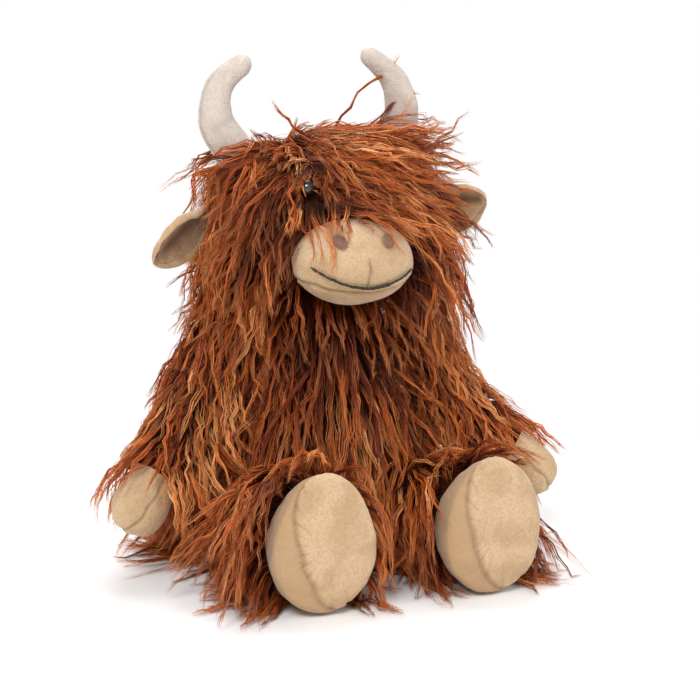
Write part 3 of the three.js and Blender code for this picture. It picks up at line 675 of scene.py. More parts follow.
def tubes(tree, curves, radius, profile):
    sized = add(tree, "GeometryNodeSetCurveRadius", {"Curve": curves, "Radius": radius})
    scale = add(tree, "GeometryNodeInputRadius").outputs[0]
    return add(tree, "GeometryNodeCurveToMesh", {"Curve": sized.outputs[0], "Profile Curve": profile,
                                                 "Scale": scale, "Fill Caps": True}).outputs[0]


def finishTree(tree, geometry, finish):
    soft = add(tree, "GeometryNodeSetShadeSmooth", {"Geometry": geometry})
    real = add(tree, "GeometryNodeRealizeInstances", {"Geometry": soft.outputs[0]})
    done = add(tree, "GeometryNodeSetMaterial", {"Geometry": real.outputs[0], "Material": finish})
    add(tree, "NodeGroupOutput", {"Geometry": done.outputs[0]})


# A tree with its named inputs besides geometry and finish, its input node and the curves along the edges
def curveTree(name, inputs):
    tree = bpy.data.node_groups.new(name, "GeometryNodeTree")
    addSockets(tree, "INPUT", {"Geometry": "Geometry", **inputs, "Finish": "Material"})
    addSockets(tree, "OUTPUT", {"Geometry": "Geometry"})
    inside = add(tree, "NodeGroupInput").outputs
    curves = add(tree, "GeometryNodeMeshToCurve", {"Mesh": inside["Geometry"]}).outputs[0]
    return tree, inside, curves


# Locks of strands: each guide line is copied, its copies set apart and frizzed, and tubes laid along them
def locksTree():
    tree, inside, curves = curveTree("locks", strand)

    def vectorMath(operation, *values):
        return add(tree, "ShaderNodeVectorMath", dict(enumerate(values)), operation=operation).outputs[0]

    def scaled(vector, scale):
        return add(tree, "ShaderNodeVectorMath", {0: vector, "Scale": scale}, operation="SCALE").outputs[0]

    def placeNow():
        return add(tree, "GeometryNodeInputPosition").outputs[0]

    def randomFloat(low, high, offset):
        inputs = {2: low, 3: high, "ID": owner, "Seed": maths(tree, "ADD", inside["Seed"], offset)}
        return add(tree, "FunctionNodeRandomValue", inputs, data_type="FLOAT").outputs[1]

    copies = add(tree, "GeometryNodeDuplicateElements", {"Geometry": curves, "Amount": inside["Strands"]},
                 domain="SPLINE")
    owner = add(tree, "GeometryNodeCurveOfPoint").outputs["Curve Index"]
    share = add(tree, "GeometryNodeSplineParameter").outputs["Factor"]
    tangent = add(tree, "GeometryNodeInputTangent").outputs[0]
    corners = {0: (-1, -1, -1), 1: (1, 1, 1), "ID": owner, "Seed": inside["Seed"]}
    scatter = add(tree, "FunctionNodeRandomValue", corners, data_type="FLOAT_VECTOR").outputs[0]
    narrowing = maths(tree, "SUBTRACT", 1.0, product(tree, share, inside["Gather"]))
    reach = product(tree, narrowing, inside["Spread"], named(tree, "apart"))
    offset = scaled(vectorMath("CROSS_PRODUCT", tangent, scatter), reach)
    wobble = noise(tree, vectorMath("ADD", placeNow(), scatter), 75.0, 1.0)["Color"]
    centred = vectorMath("SUBTRACT", wobble, (0.5, 0.5, 0.5))
    frizz = scaled(centred, product(tree, share, inside["Frizz"], 4.0))
    moved = add(tree, "GeometryNodeSetPosition",
                {"Geometry": copies.outputs[0], "Offset": vectorMath("ADD", offset, frizz)})
    x, y, z = add(tree, "ShaderNodeSeparateXYZ", {0: placeNow()}).outputs
    above = add(tree, "ShaderNodeCombineXYZ", {0: x, 1: y, 2: maths(tree, "MAXIMUM", z, 0.0008)})
    moved = add(tree, "GeometryNodeSetPosition", {"Geometry": moved.outputs[0], "Position": above.outputs[0]})
    swell = add(tree, "ShaderNodeFloatCurve", {"Value": share})
    line = swell.mapping.curves[0]
    line.points[0].location, line.points[1].location = (0, 0.7), (1, 0.1)
    for spot in ((0.25, 1.0), (0.65, 0.8), (0.9, 0.4)):
        line.points.new(*spot)
    swell.mapping.update()
    thick = product(tree, named(tree, "thick"), randomFloat(0.6, 1.25, 31))
    tinted = maths(tree, "ADD", named(tree, "tone"), randomFloat(-0.16, 0.16, 57))
    clamped = maths(tree, "MINIMUM", maths(tree, "MAXIMUM", tinted, 0.0), 0.999)
    column = maths(tree, "FLOOR", product(tree, clamped, inside["Tones"]))
    marked = keepNamed(tree, moved.outputs[0], "column", column)
    marked = keepNamed(tree, marked, "share", share)
    around = add(tree, "GeometryNodeSplineParameter").outputs["Factor"]
    profile = keepNamed(tree, circle(tree, 3), "around", around)
    made = tubes(tree, marked, product(tree, swell.outputs[0], inside["Thickness"], thick), profile)
    inColumn = maths(tree, "ADD", product(tree, named(tree, "around"), 0.9), 0.2)
    across = maths(tree, "DIVIDE", maths(tree, "ADD", named(tree, "column"), inColumn), inside["Tones"])
    along = maths(tree, "ADD", product(tree, named(tree, "share"), 0.96), 0.02)
    spot = add(tree, "ShaderNodeCombineXYZ", {0: across, 1: along}).outputs[0]
    finishTree(tree, keepNamed(tree, made, "OFBake", spot, "FLOAT2", "CORNER"), inside["Finish"])
    return tree


lockTree = locksTree()


# Runs a tree on a piece, with its inputs by name, and leaves plain mesh
def runTree(piece, tree, values):
    step = piece.modifiers.new(tree.name, "NODES")
    step.node_group = tree
    for socket in tree.interface.items_tree:
        if socket.in_out == "INPUT" and socket.name in values:
            step[socket.identifier] = values[socket.name]
    applied(piece)


def makeLocks(name, points, looks, body, seed):
    count, rows, _ = points.shape
    edges = [(i * rows + k, i * rows + k + 1) for i in range(count) for k in range(rows - 1)]
    piece = meshPiece(name, points.reshape(-1, 3), edges)
    for look, values in looks.items():
        store(piece, look, np.repeat(values, rows))
    runTree(piece, lockTree, dict(strand, Seed=seed, Finish=longPile))
    layers = piece.data.attributes
    for spare in ("tone", "thick", "apart", "column", "share", "around"):
        if spare in layers:
            layers.remove(layers[spare])
    settle(piece, body)


# Each zone of the coat has a dictionary of its pile. What changes over the zone is a function of the roots:
# where more locks grow, their share of the length, how close they lie, how they fall, and how much painted
# shade darkens the colour, which below zero is painted light.
# A comb gives the way of each lock, from its root, the way outwards there and the side's sign.
def evenly(p):
    return np.ones(len(p))


def noPaintedShade(p):
    return 0.0


plainPile = {"keep": evenly, "shape": evenly, "close": evenly, "ease": evenly, "paintedShade": noPaintedShade,
             "bare": (), "curl": 0.15}


def torsoComb(p, n, sign):
    out = pointsFrom(p[:, 0], p[:, 1], 0.0)
    low = (smooth(70, 10, p[:, 2]) * smooth(45, 0, p[:, 1]))[:, None]
    flank = (smooth(30, 56, np.abs(p[:, 0])) * smooth(40, 60, p[:, 2]))[:, None]
    comb = unit(out) * (0.3 + 0.4 * low + 0.6 * flank) + np.array([0, 0, -1.0])
    comb[:, 0] += 0.35 * drift(p, 70, 3) + 0.4 * np.clip(p[:, 0] / 50, -1, 1) * smooth(10, -20, p[:, 1])
    comb[:, 1] += 0.3 * drift(p, 60, 4)
    return unit(comb)


# More locks fill the room between the sides and the arms
def keepTorso(p):
    flank = smooth(46, 58, np.abs(p[:, 0])) * smooth(130, 105, p[:, 2]) * smooth(45, 65, p[:, 2])
    shoulder = smooth(22, 34, np.abs(p[:, 0])) * smooth(118, 130, p[:, 2])
    return 1 + 0.9 * flank + 1.1 * shoulder


# Near the floor the pile is longer at the sides and in front, and shorter behind
def torsoLengths(p):
    low = smooth(70, 15, p[:, 2])
    behind = smooth(20, 60, p[:, 1])
    wayOut = smooth(-50, -80, p[:, 0]) * smooth(-30, 0, p[:, 1])
    return (1 + low * (0.1 * (1 - behind) - 0.55 * behind)) * (1 - 0.3 * low * wayOut)


# Painted shade: under the head the coat is painted darker, most of all in front under the chin
def neckShade(p):
    under = smooth(122, 158, p[:, 2]) * smooth(50, 25, np.abs(p[:, 0] - 4)) * (p[:, 1] < 0)
    return 0.1 * smooth(105, 160, p[:, 2]) + 0.28 * under


torsoPile = dict(
    plainPile, count=1880, length=(56, 98), seed=11, keep=keepTorso, comb=torsoComb, shape=torsoLengths,
    paintedShade=neckShade, layer=(1, 14), lift=(0.2, 0.8), wander=0.5, hold=0.16, fall=0.4, cling=0.3,
    wavelength=(11, 22), wave=(0.6, 2.1), bare=("foot_left", "foot_right", "hand_left", "hand_right"))
shownEye = mirrored(eye["place"], -1)
# The x of the parting over the shown eye
partingAt = -21


# Over the forehead the hair falls from the crown and parts round the shown eye.
# Below the eye it fans out over the muzzle's top, and elsewhere it hangs.
def headComb(p, n, sign):
    x, y, z = p.T
    front = smooth(30, -20, y) * smooth(205, 228, z)
    beside = smooth(84, 50, np.abs(x))
    away = x - partingAt
    side = np.sign(away)
    steep = np.where(side > 0, 0.45, 1.0)
    upper = pointsFrom(1.1 * away + 9 * side, -12.0, steep * (-12 - 0.35 * (z - 258)))
    lower = pointsFrom(1.3 * away + 9 * side, -9.0, steep * (0.6 * (z - 262) - 9))
    share = smooth(246, 262, z)[:, None]
    spread = unit(unit(upper) * share + unit(lower) * (1 - share))
    out = pointsFrom(x / 83, (y + 6) / 69, 0.0)
    flare = 0.25 + 0.5 * smooth(-40, 40, x)[:, None]
    hang = unit(out * flare + np.array([0.08, 0, -1.0]))
    share = (front * beside)[:, None]
    comb = spread * share + hang * (1 - share)
    comb[:, 0] += 0.28 * drift(p, 55, 8)
    comb[:, 2] += 0.15 * drift(p, 45, 9)
    return unit(comb)


def underChin(p):
    return (p[:, 1] < 0) * smooth(58, 38, np.abs(p[:, 0])) * smooth(208, 196, p[:, 2])


# Where the head has no pile: the muzzle's place, and round each eye and each horn's base
freeSpots = {"wide": 41, "high": 29, "above": 189, "eye": 8, "horn": 14, "hornAt": (49, -4, 262)}


def keepHead(p):
    x, y, z = p.T
    across, up = x / freeSpots["wide"], (z - muzzle["middle"][2]) / freeSpots["high"]
    free = (across ** 2 + up ** 2 < 1) & (y < 0) & (z > freeSpots["above"])
    for sign in sides.values():
        free |= lengthOf(p - mirrored(eye["place"], sign)) < freeSpots["eye"]
        free |= lengthOf(p - mirrored(freeSpots["hornAt"], sign)) < freeSpots["horn"]
    parting = (y < 0) * bell(x + 18, 17) * smooth(225, 240, z)
    more = 1 + 0.7 * smooth(225, 265, z) + 1.8 * smooth(266, 280, z) + 2.2 * parting
    return np.where(free, 0.0, 1.0) * more * (1 - 0.6 * underChin(p))


# Painted shade makes the pile darkest in the hollow round the shown eye and darker under the chin.
# Painted light makes it lighter towards the cow's right, which faces the key lamp. It is also a little
# lighter all over.
def eyeShade(p):
    near = bell(lengthOf(p - shownEye), 24)
    return 0.75 * near + 0.4 * underChin(p) - 0.12 * smooth(-30, -60, p[:, 0]) - 0.05


# Round the shown eye the pile is short
def headLengths(p):
    near = 0.4 + 0.6 * smooth(9, 22, lengthOf(p - shownEye))
    parting = bell(p[:, 0] - partingAt, 9) * smooth(250, 262, p[:, 2]) * (p[:, 1] < 0)
    beside = smooth(-40, -75, p[:, 0])
    return near * (1 - 0.3 * parting) * (1 - 0.22 * beside) * (1 - 0.5 * underChin(p))


def faceEase(p):
    x, y, z = p.T
    return 1 - 0.8 * (smooth(0, -30, y) * smooth(-24, -12, x) * smooth(60, 40, x) * smooth(228, 240, z))


headPile = dict(
    plainPile, count=1420, length=(54, 92), seed=23, keep=keepHead, comb=headComb, shape=headLengths,
    paintedShade=eyeShade, ease=faceEase, close=lambda p: 1 - 0.55 * smooth(-20, -60, p[:, 0]), layer=(1, 14),
    lift=(0.2, 0.9), wander=0.5, hold=0.26, fall=0.4, cling=0.4, wavelength=(12, 24), wave=(0.6, 2.1),
    bare=("muzzle", "hand_left", "hand_right", "horn_left", "horn_right"))


# Long locks sweep from the crown over the brow, most of them to the cow's left
def browComb(p, n, sign):
    toLeft = smooth(-30, -16, p[:, 0])[:, None]
    comb = np.array([1.0, -0.4, -0.28]) * toLeft + np.array([-0.7, -0.3, -0.6]) * (1 - toLeft)
    comb = comb + 0.3 * drift(p, 40, 27)[:, None] * np.array([0.2, 0, 1.0])
    return unit(comb)


def keepBrow(p):
    x, y, z = p.T
    return (z > 258) * (y < 14) * (x > -58) * (x < 36) * (0.5 + (z > 268)) + 1e-9


browPile = dict(
    plainPile, count=190, length=(62, 112), seed=51, keep=keepBrow, comb=browComb, layer=(8, 19),
    lift=(0.3, 0.9), wander=0.28, hold=0.35, fall=0.22, cling=0.95, wavelength=(14, 30), wave=(0.7, 2.4),
    bare=("muzzle", "horn_left", "horn_right"))


def crownComb(p, n, sign):
    down = smooth(276, 262, p[:, 2]) * (p[:, 1] < 0)
    return unit(pointsFrom(0.5 * np.sign(p[:, 0] + 18), -0.2 - 0.3 * down, 0.1 - 0.8 * down))


def keepCrown(p):
    x, y, z = p.T
    return (z > 254) * (x > -34) * (x < 50) * (1 + 2.5 * bell(x + 20, 16)) * (y < 30) + 1e-9


# The crown's short locks are painted darker, most of all low down, as the shade under the long locks
crownPile = dict(
    plainPile, count=130, length=(14, 30), seed=53, keep=keepCrown, comb=crownComb,
    paintedShade=lambda p: 0.3 + 0.2 * smooth(276, 262, p[:, 2]), layer=(3, 12), lift=(0.6, 1.8), wander=0.7,
    hold=0.15, fall=0.2, cling=0.1, curl=0.08, wavelength=(16, 28), wave=(0.2, 1.0),
    bare=("horn_left", "horn_right"))


def neckComb(p, n, sign):
    beside = smooth(8, 26, np.abs(p[:, 0]))[:, None]
    return unit(n * (0.7 + 0.6 * beside) + np.array([0, 0, -1.0]) * (1 - 0.55 * beside))


# The neck's pile is painted darker, most of all in the middle, as the shade under the chin
neckPile = dict(
    plainPile, count=260, length=(34, 62), seed=57, comb=neckComb,
    keep=lambda p: 0.6 + 1.6 * smooth(8, 26, np.abs(p[:, 0])),
    paintedShade=lambda p: 0.5 - 0.25 * smooth(10, 28, np.abs(p[:, 0])), layer=(2, 12), lift=(0.3, 1.2), wander=0.5,
    hold=0.3, fall=0.3, cling=0.3, curl=0.12, wavelength=(14, 26), wave=(0.3, 1.3), bare=("muzzle",))


def armComb(p, n, sign):
    shoulder, _, wrist = armPoints(sign)
    way = unit(wrist - shoulder) * 0.8 + np.array([sign * 0.25, -0.1, -0.75])
    inner = smooth(0.1, -0.7, n[:, 0] * sign)[:, None]
    comb = way * (1 - 0.5 * inner) + n * (0.15 + 0.75 * inner)
    comb[:, 0] += 0.25 * drift(p, 60, 12 + sign)
    return unit(comb)


# The arms' pile is painted a little lighter, as painted light
armPile = dict(
    plainPile, count=420, length=(36, 66), seed=31, comb=armComb, paintedShade=lambda p: -0.14,
    close=lambda p: 1 - 0.5 * smooth(110, 140, p[:, 2]), layer=(1, 10), lift=(0.2, 0.8), wander=0.5, hold=0.2,
    fall=0.4, cling=0.3, curl=0.2, wavelength=(13, 24), wave=(0.7, 2.1))


def legComb(p, n, sign):
    comb = n * 0.5 + np.array([sign * 0.5, -0.65, -0.4])
    comb[:, 0] += 0.3 * drift(p, 60, 16 + sign)
    return unit(comb)


# The legs' pile is painted darker towards the front, as painted shade near the feet
legPile = dict(
    plainPile, count=420, length=(46, 84), seed=41, comb=legComb,
    paintedShade=lambda p: 0.02 + 0.25 * smooth(-110, -135, p[:, 1]), layer=(1, 11), lift=(0.2, 0.8), wander=0.42,
    hold=0.22, fall=0.5, cling=0.3, curl=0.12, wavelength=(12, 24), wave=(0.5, 1.8))


# Some locks are strays: thinner, with their strands wider apart
strays = {"share": 0.18, "thick": 0.5, "apart": 2.6}


# The left side takes the pile's own seed and the right side the next one.
# With several parts, the locks are shared out by their way round the upright axis.
def grow(label, pile, grid, body, sign=1, parts=1):
    count, seed = pile["count"], pile["seed"] + (sign < 0)
    roots, outwards = spreadRoots(grid, count, seed, pile["keep"])
    rng = np.random.default_rng(seed + 100)
    length = rng.uniform(*pile["length"], count) * pile["shape"](roots)
    high = rng.random(count)
    comb = pile["comb"](roots, outwards, sign)
    points, clear = cutClear(drawnIn(growLocks(roots, outwards, comb, length, high, pile, seed + 200)))
    points, roots, high, count = points[clear], roots[clear], high[clear], int(clear.sum())
    # Locks that lie farther out are painted lighter and deeper ones darker, as painted light and shade of the
    # pile's depth. The rest of the tone drifts over the coat and differs at random, and each zone's painted
    # shade is taken off it.
    tone = 0.5 + 0.16 * drift(roots, 45, seed + 5) + rng.normal(0, 0.17, count) + 0.55 * (high - 0.5)
    stray = rng.random(count) < strays["share"]
    looks = {
        "tone": np.clip(tone - pile["paintedShade"](roots), 0, 0.99),
        "thick": rng.uniform(0.75, 1.3, count) * np.where(stray, strays["thick"], 1.0),
        "apart": rng.uniform(0.7, 1.25, count) * np.where(stray, strays["apart"], 1.0),
    }
    order = np.argsort(np.argsort(np.arctan2(roots[:, 1], roots[:, 0]))) * parts // count
    for part in range(parts):
        chosen = order == part
        name = label if parts == 1 else f"{label}_{part + 1}"
        makeLocks(name, points[chosen], {k: v[chosen] for k, v in looks.items()}, body, seed * 10 + part)
    print(f"{label} grown")


# Locks that would lie across a sole, a palm, an ear or the shown eye end before it
def cutClear(points):
    across = acrossPads(points)
    rows = points.shape[1]
    first = np.where(across.any(axis=1), across.argmax(axis=1) - 1, rows - 1)
    keep = first >= 2
    at = np.linspace(0, 1, rows)[None, :] * first[:, None]
    low = np.clip(np.floor(at).astype(int), 0, rows - 2)
    part = (at - low)[..., None]
    pick = np.arange(len(points))[:, None]
    return points[pick, low] * (1 - part) + points[pick, low + 1] * part, keep


# How far points are along a line, between two ends, and off it
def offLine(points, start, way, low=-np.inf, high=np.inf):
    away = points - start
    along = np.clip(away @ way, low, high)
    return along, lengthOf(away - along[..., None] * way)


# Where no lock may pass. The sole is an ellipse before a y, the mitt and the ear are stretches of a line with
# a radius, the palm and the eye are discs as the camera sees them, and the last is the air at the right horn.
kept = {"sole": (-146, 37, 48), "mitt": (8, 50, 24), "palm": {"left": 19, "right": 13, "out": 27},
        "ear": (30, 16), "eye": (-0.8, 3.4), "horn": (-44, 288)}


def acrossPads(points):
    across = (points[..., 0] < kept["horn"][0]) & (points[..., 2] > kept["horn"][1])
    for side, sign in sides.items():
        sole, wide, high = kept["sole"]
        x, z = points[..., 0] - footMiddle(sign)[0], points[..., 2] - foot["middle"][2]
        across |= (points[..., 1] < sole) & ((x / wide) ** 2 + (z / high) ** 2 < 1)
        wrist, way = armPoints(sign)[2], mirrored(hand["way"], sign)
        low, high, wide = kept["mitt"]
        along, far = offLine(points, wrist, way)
        across |= (along > low) & (along < high) & (far < wide)
        toView, far = offLine(points, wrist + way * kept["palm"]["out"], viewWay)
        across |= (toView > 0) & (far < kept["palm"][side])
        (reach, wide), line = kept["ear"], earWay(side)
        _, far = offLine(points, earPivot(side) + line * ear[side]["clearFrom"], line, 0, reach)
        across |= far < wide
    lower, wide = kept["eye"]
    toView, far = offLine(points, shownEye + np.array([0, 0, lower]), viewWay)
    return across | (toView > 0) & (far < wide)


# Four long locks that stand up from the crown
crownLocks = [
    {"tone": 0.42, "thick": 1.4, "apart": 0.8, "path": [
        (-4, -12, 282), (-9, -12, 290), (-17, -12, 293), (-21, -12, 300), (-27, -12, 303), (-33, -12, 311)]},
    {"tone": 0.5, "thick": 1.4, "apart": 0.7, "path": [
        (10, -12, 282), (15, -12, 298), (22, -12, 306), (30, -12, 312), (31, -12, 320), (42, -12, 326),
        (50, -12, 330), (58, -12, 339), (62, -12, 344)]},
    {"tone": 0.75, "thick": 0.6, "apart": 1.6, "path": [
        (30, -20, 280), (42, -24, 290), (54, -26, 299), (66, -26, 314)]},
    {"tone": 0.8, "thick": 0.5, "apart": 2.0, "path": [
        (34, -22, 277), (50, -26, 284), (66, -26, 291), (80, -24, 300)]},
]


def standingLocks():
    rng = np.random.default_rng(3)
    points = np.array([curved(lock["path"], fur["steps"] + 1) for lock in crownLocks])
    run = np.linspace(0, 1, fur["steps"] + 1)[None, :, None]
    points = points + rng.normal(0, 0.7, points.shape) * np.sqrt(run)
    looks = {look: np.array([lock[look] for lock in crownLocks]) for look in ("tone", "thick", "apart")}
    makeLocks("crown_locks", points, looks, "head", seed=77)


wisps = {"count": 16, "from": -40, "to": -6, "ends": (220, 235), "longest": 201, "root": 246,
         "off": 3, "brow": 236, "aside": (2, 14)}


# Locks that hang over the muzzle's upper right, by the row of their roots
def muzzleWisps():
    rng = np.random.default_rng(19)
    (_, my, mz), (wide, deep, high) = muzzle["middle"], muzzle["radii"]
    paths, looks = [], {"tone": [], "thick": [], "apart": []}
    for x0 in np.linspace(wisps["from"], wisps["to"], wisps["count"]) + rng.normal(0, 1.5, wisps["count"]):
        low = rng.uniform(*wisps["ends"]) if rng.random() > 0.2 else wisps["longest"]
        z = np.linspace(wisps["root"], low, 6)
        aside = 1 - ((x0 - wisps["off"]) / (wide + wisps["off"])) ** 2
        up = np.minimum(z, wisps["brow"]) - mz
        over = np.clip(aside - up ** 2 / (high + wisps["off"]) ** 2, 0, 1)
        y = my - (deep + 1) * np.sqrt(over) - np.linspace(-14, 5, 6) * (z > 215) - 2
        x = x0 - np.linspace(0, 1, 6) ** 1.5 * rng.uniform(*wisps["aside"])
        paths.append(curved(pointsFrom(x, y, z), fur["steps"] + 1))
        looks["tone"].append(rng.uniform(0.4, 0.95))
        looks["thick"].append(0.55 if low == wisps["longest"] else rng.uniform(0.7, 1.1))
        looks["apart"].append(rng.uniform(0.5, 1.3))
    points = np.array(paths)
    points = points + rng.normal(0, 0.5, points.shape)
    makeLocks("muzzle_wisps", points, {k: np.array(v) for k, v in looks.items()}, "head", seed=91)


# Each lash is led from its root, by how far out and how far forward, to a place just inside the rim
lashes = {"count": 15, "turns": (-15, 205), "inward": (3.9, 6), "led": ((13, -2), (9, 4.5), (6.5, 7.5))}


# Short locks in the deep tones lean over the rim of the shown eye, as painted shade of its hollow
def eyeLocks():
    rng = np.random.default_rng(29)
    count, rows = lashes["count"], fur["steps"] + 1
    up = unit(np.array([0, 0, 1.0]) - viewWay * viewWay[2])
    across = np.cross(up, viewWay)
    paths = []
    for turn in np.radians(np.linspace(*lashes["turns"], count) + rng.uniform(-8, 8, count)):
        way = math.cos(turn) * across + math.sin(turn) * up
        steps = [shownEye + way * out + viewWay * ahead for out, ahead in lashes["led"]]
        steps.append(shownEye + way * rng.uniform(*lashes["inward"]) + viewWay * 7.5 - up * 0.5)
        paths.append(curved(steps, rows))
    points = np.array(paths) + rng.normal(0, 0.3, (count, rows, 3))
    looks = {look: rng.uniform(*ends, count) for look, ends in
             (("tone", (0, 0.4)), ("thick", (0.6, 0.95)), ("apart", (0.25, 0.5)))}
    makeLocks("eye_locks", points, looks, "head", seed=93)


def undercoat(name, grid, body, *nodes):
    settle(closedForm(name, grid, backingCloth), body, nodes)


torsoForm, headForm = torsoGrid(), headGrid()
undercoat("torso_backing", torsoForm, "torso", "torso_coat", "torso_stuffing", "pellet_pouch")
undercoat("head_backing", headForm, "head", "head_coat", "head_stuffing")
neckLine = [(*neck["middle"][:2], z) for z in neck["rings"]]
neckForm = tubeGrid(neckLine, list(neck["rings"].values()), 32, across=(0, 1, 0))
undercoat("neck_band", neckForm, "neck", "neck_sleeve", "neck_stuffing")
limbForms = {}
for side, sign in sides.items():
    for limb, line, form in (("arm", armPoints(sign), arm), ("leg", legPoints(sign), leg)):
        name = f"{limb}_{side}"
        limbForms[name] = limbGrid(line, form["radii"])
        undercoat(f"{name}_backing", limbForms[name], name, f"{name}_sleeve", f"{name}_stuffing")
print("backing cloth laid")

grow("torso_pile", torsoPile, torsoForm, "torso", parts=4)
grow("head_pile", headPile, headForm, "head", parts=3)
grow("brow_pile", browPile, headForm, "head")
grow("crown_pile", crownPile, headForm, "head")
grow("neck_pile", neckPile, neckForm, "neck")
standingLocks()
muzzleWisps()
eyeLocks()
for side, sign in sides.items():
    for limb, pile in (("arm", armPile), ("leg", legPile)):
        grow(f"{limb}_{side}_pile", pile, limbForms[f"{limb}_{side}"], f"{limb}_{side}", sign)

stuffing = {"voxel": 4, "pressure": 4.0, "moments": 20, "quality": 5, "neighbours": 8}


# Stuffs a cover: cloth with pressure inside, held at its seams, and the swelling carried back to the piece
def puff(piece, seams, start, limit):
    work = linked("stuffing", piece.data.copy())
    even = work.modifiers.new("even", "REMESH")
    even.mode, even.voxel_size = "VOXEL", stuffing["voxel"] * mm
    applied(work)
    before, normals = shapeOf(work)
    moveTo(work, before - normals * start)
    held = work.vertex_groups.new(name="seams")
    held.add([int(i) for i in np.flatnonzero(seams(before))], 1.0, "REPLACE")
    cloth = work.modifiers.new("cover", "CLOTH")
    cloth.settings.quality = stuffing["quality"]
    cloth.settings.vertex_group_mass = "seams"
    cloth.settings.use_pressure = True
    cloth.settings.uniform_pressure_force = stuffing["pressure"]
    cloth.settings.effector_weights.gravity = 0
    cloth.collision_settings.use_collision = False
    for moment in range(1, stuffing["moments"] + 1):
        bpy.context.scene.frame_set(moment)
    applied(work)
    moved = shapeOf(work)[0] - before
    bpy.context.scene.frame_set(1)
    moved = moved * np.minimum(1, limit / np.maximum(lengthOf(moved), 1e-6))[:, None]
    tree = KDTree(len(before))
    for i, point in enumerate(before):
        tree.insert(point, i)
    tree.balance()
    points, _ = shapeOf(piece)
    shift = np.zeros_like(points)
    for i, point in enumerate(points):
        near = tree.find_n(point, stuffing["neighbours"])
        weight = np.array([1 / (n[2] + 1) for n in near])
        shift[i] = (moved[[n[1] for n in near]] * weight[:, None]).sum(axis=0) / weight.sum()
    moveTo(piece, points + shift)
    mesh = work.data
    bpy.data.objects.remove(work)
    bpy.data.meshes.remove(mesh)
    print(f"{piece.name} stuffed, moved {lengthOf(shift).mean():.2f} mm on average")


# Presses seams in along the normals, keeps how dark they are painted, the seam line with painted shade
# in its groove, and finishes the piece
def sewn(piece, raised, groove, seamAndShade, body, nodes):
    points, normals = shapeOf(piece)
    moveTo(piece, points + normals * (raised - groove)[:, None])
    store(piece, "seamAndShade", np.clip(seamAndShade, 0, 1))
    settle(piece, body, nodes)


# The muzzle is a swelling form with the seam under the smile and a short one up its middle.
# The smile and the chin's seam cross it: their height, how far they bow and their half width.
muzzleLines = {"smile": (206, 13, 36), "chin": (188.4, 8.6, 40)}


def smileHeight(x):
    height, bow, half = muzzleLines["smile"]
    return height - bow * (1 - np.clip(np.abs(x) / half, 0, 1.15) ** 2)


def chinHeight(x):
    height, bow, half = muzzleLines["chin"]
    return height + bow * np.clip(np.abs(x) / half, 0, 1) ** 2


def muzzlePoint(x, z):
    (mx, my, mz), (wide, deep, high) = muzzle["middle"], muzzle["radii"]
    far = (((x - mx) / wide) ** 2 + ((z - mz) / high) ** 2) ** (1 / muzzle["fullness"])
    return pointsFrom(x, my - deep * np.sqrt(np.maximum(0.0, 1 - far)), z)


def makeMuzzle(rings=30, count=64):
    angle = ringAngles(count)
    (mx, my, mz), (wide, deep, high) = muzzle["middle"], muzzle["radii"]
    grid = []
    for turn in np.linspace(0.03, math.pi - 0.03, rings):
        spread = math.sin(turn) ** muzzle["fullness"]
        x, z = mx + wide * spread * np.cos(angle), mz + high * spread * np.sin(angle)
        grid.append(pointsFrom(x, my - deep * math.cos(turn), z))
    piece = closedForm("muzzle_cover", np.array(grid), tanPlush)
    puff(piece, lambda p: np.abs(p[:, 2] - chinHeight(p[:, 0])) < 3, start=1.4, limit=1.6)
    subdivide(piece, 2)
    points, _ = shapeOf(piece)
    x, y, z = points.T
    chin = np.abs(z - chinHeight(x) + 0.5 * drift(points, 22, 61))
    middle = np.abs(x - 0.6 * drift(points, 16, 62))
    upper = smooth(214, 208, z) * smooth(189, 194, z) * smooth(-84, -96, y)
    groove = 1.5 * bell(chin, 1.0) * smooth(-62, -80, y)
    groove += 1.1 * bell(middle, 0.9) * upper
    pucker = 0.35 * drift(points, 9, 63) * bell(chin, 5) + 0.35 * drift(points, 26, 64)
    # The seams' grooves are painted darker: the seam lines with painted shade in them
    sewn(piece, pucker, groove, groove * 0.5, "head",
         ["muzzle_panel_left", "muzzle_panel_right", "chin_panel", "muzzle_stuffing"])
    # Below the chin's seam the nap is painted a little darker, as the shade under the muzzle
    store(piece, "panel", smooth(1, -1, z - chinHeight(x)) * 0.25)


makeMuzzle()


def threadTree():
    tree, inside, curves = curveTree("threads", {"Radius": 0.0003, "Sides": 6})
    radius = maths(tree, "MULTIPLY", named(tree, "thick"), inside["Radius"])
    finishTree(tree, tubes(tree, curves, radius, circle(tree, inside["Sides"])), inside["Finish"])
    return tree


threads = threadTree()


# Thread laid along paths, one tapering tube for each path
def layThreads(name, paths, weights, radius, finish, node):
    points, edges, thick = [], [], []
    for path, weight in zip(paths, weights):
        start = len(points)
        points += list(path)
        t = np.linspace(0, 1, len(path))
        thick += list(weight * (0.35 + 0.65 * np.sqrt(np.clip(4 * t * (1 - t), 0, 1))))
        edges += [(start + i, start + i + 1) for i in range(len(path) - 1)]
    piece = meshPiece(name, points, edges)
    store(piece, "thick", thick)
    runTree(piece, threads, {"Radius": radius * mm, "Finish": finish})
    settle(piece, "head", [node])


nostril = {"out": 16.5, "aside": -2, "height": 223, "halfWide": 4.2, "halfHigh": 4.9, "stitches": 15}
smile = {"from": -36, "to": 32, "stitches": 19, "thinFrom": 12}


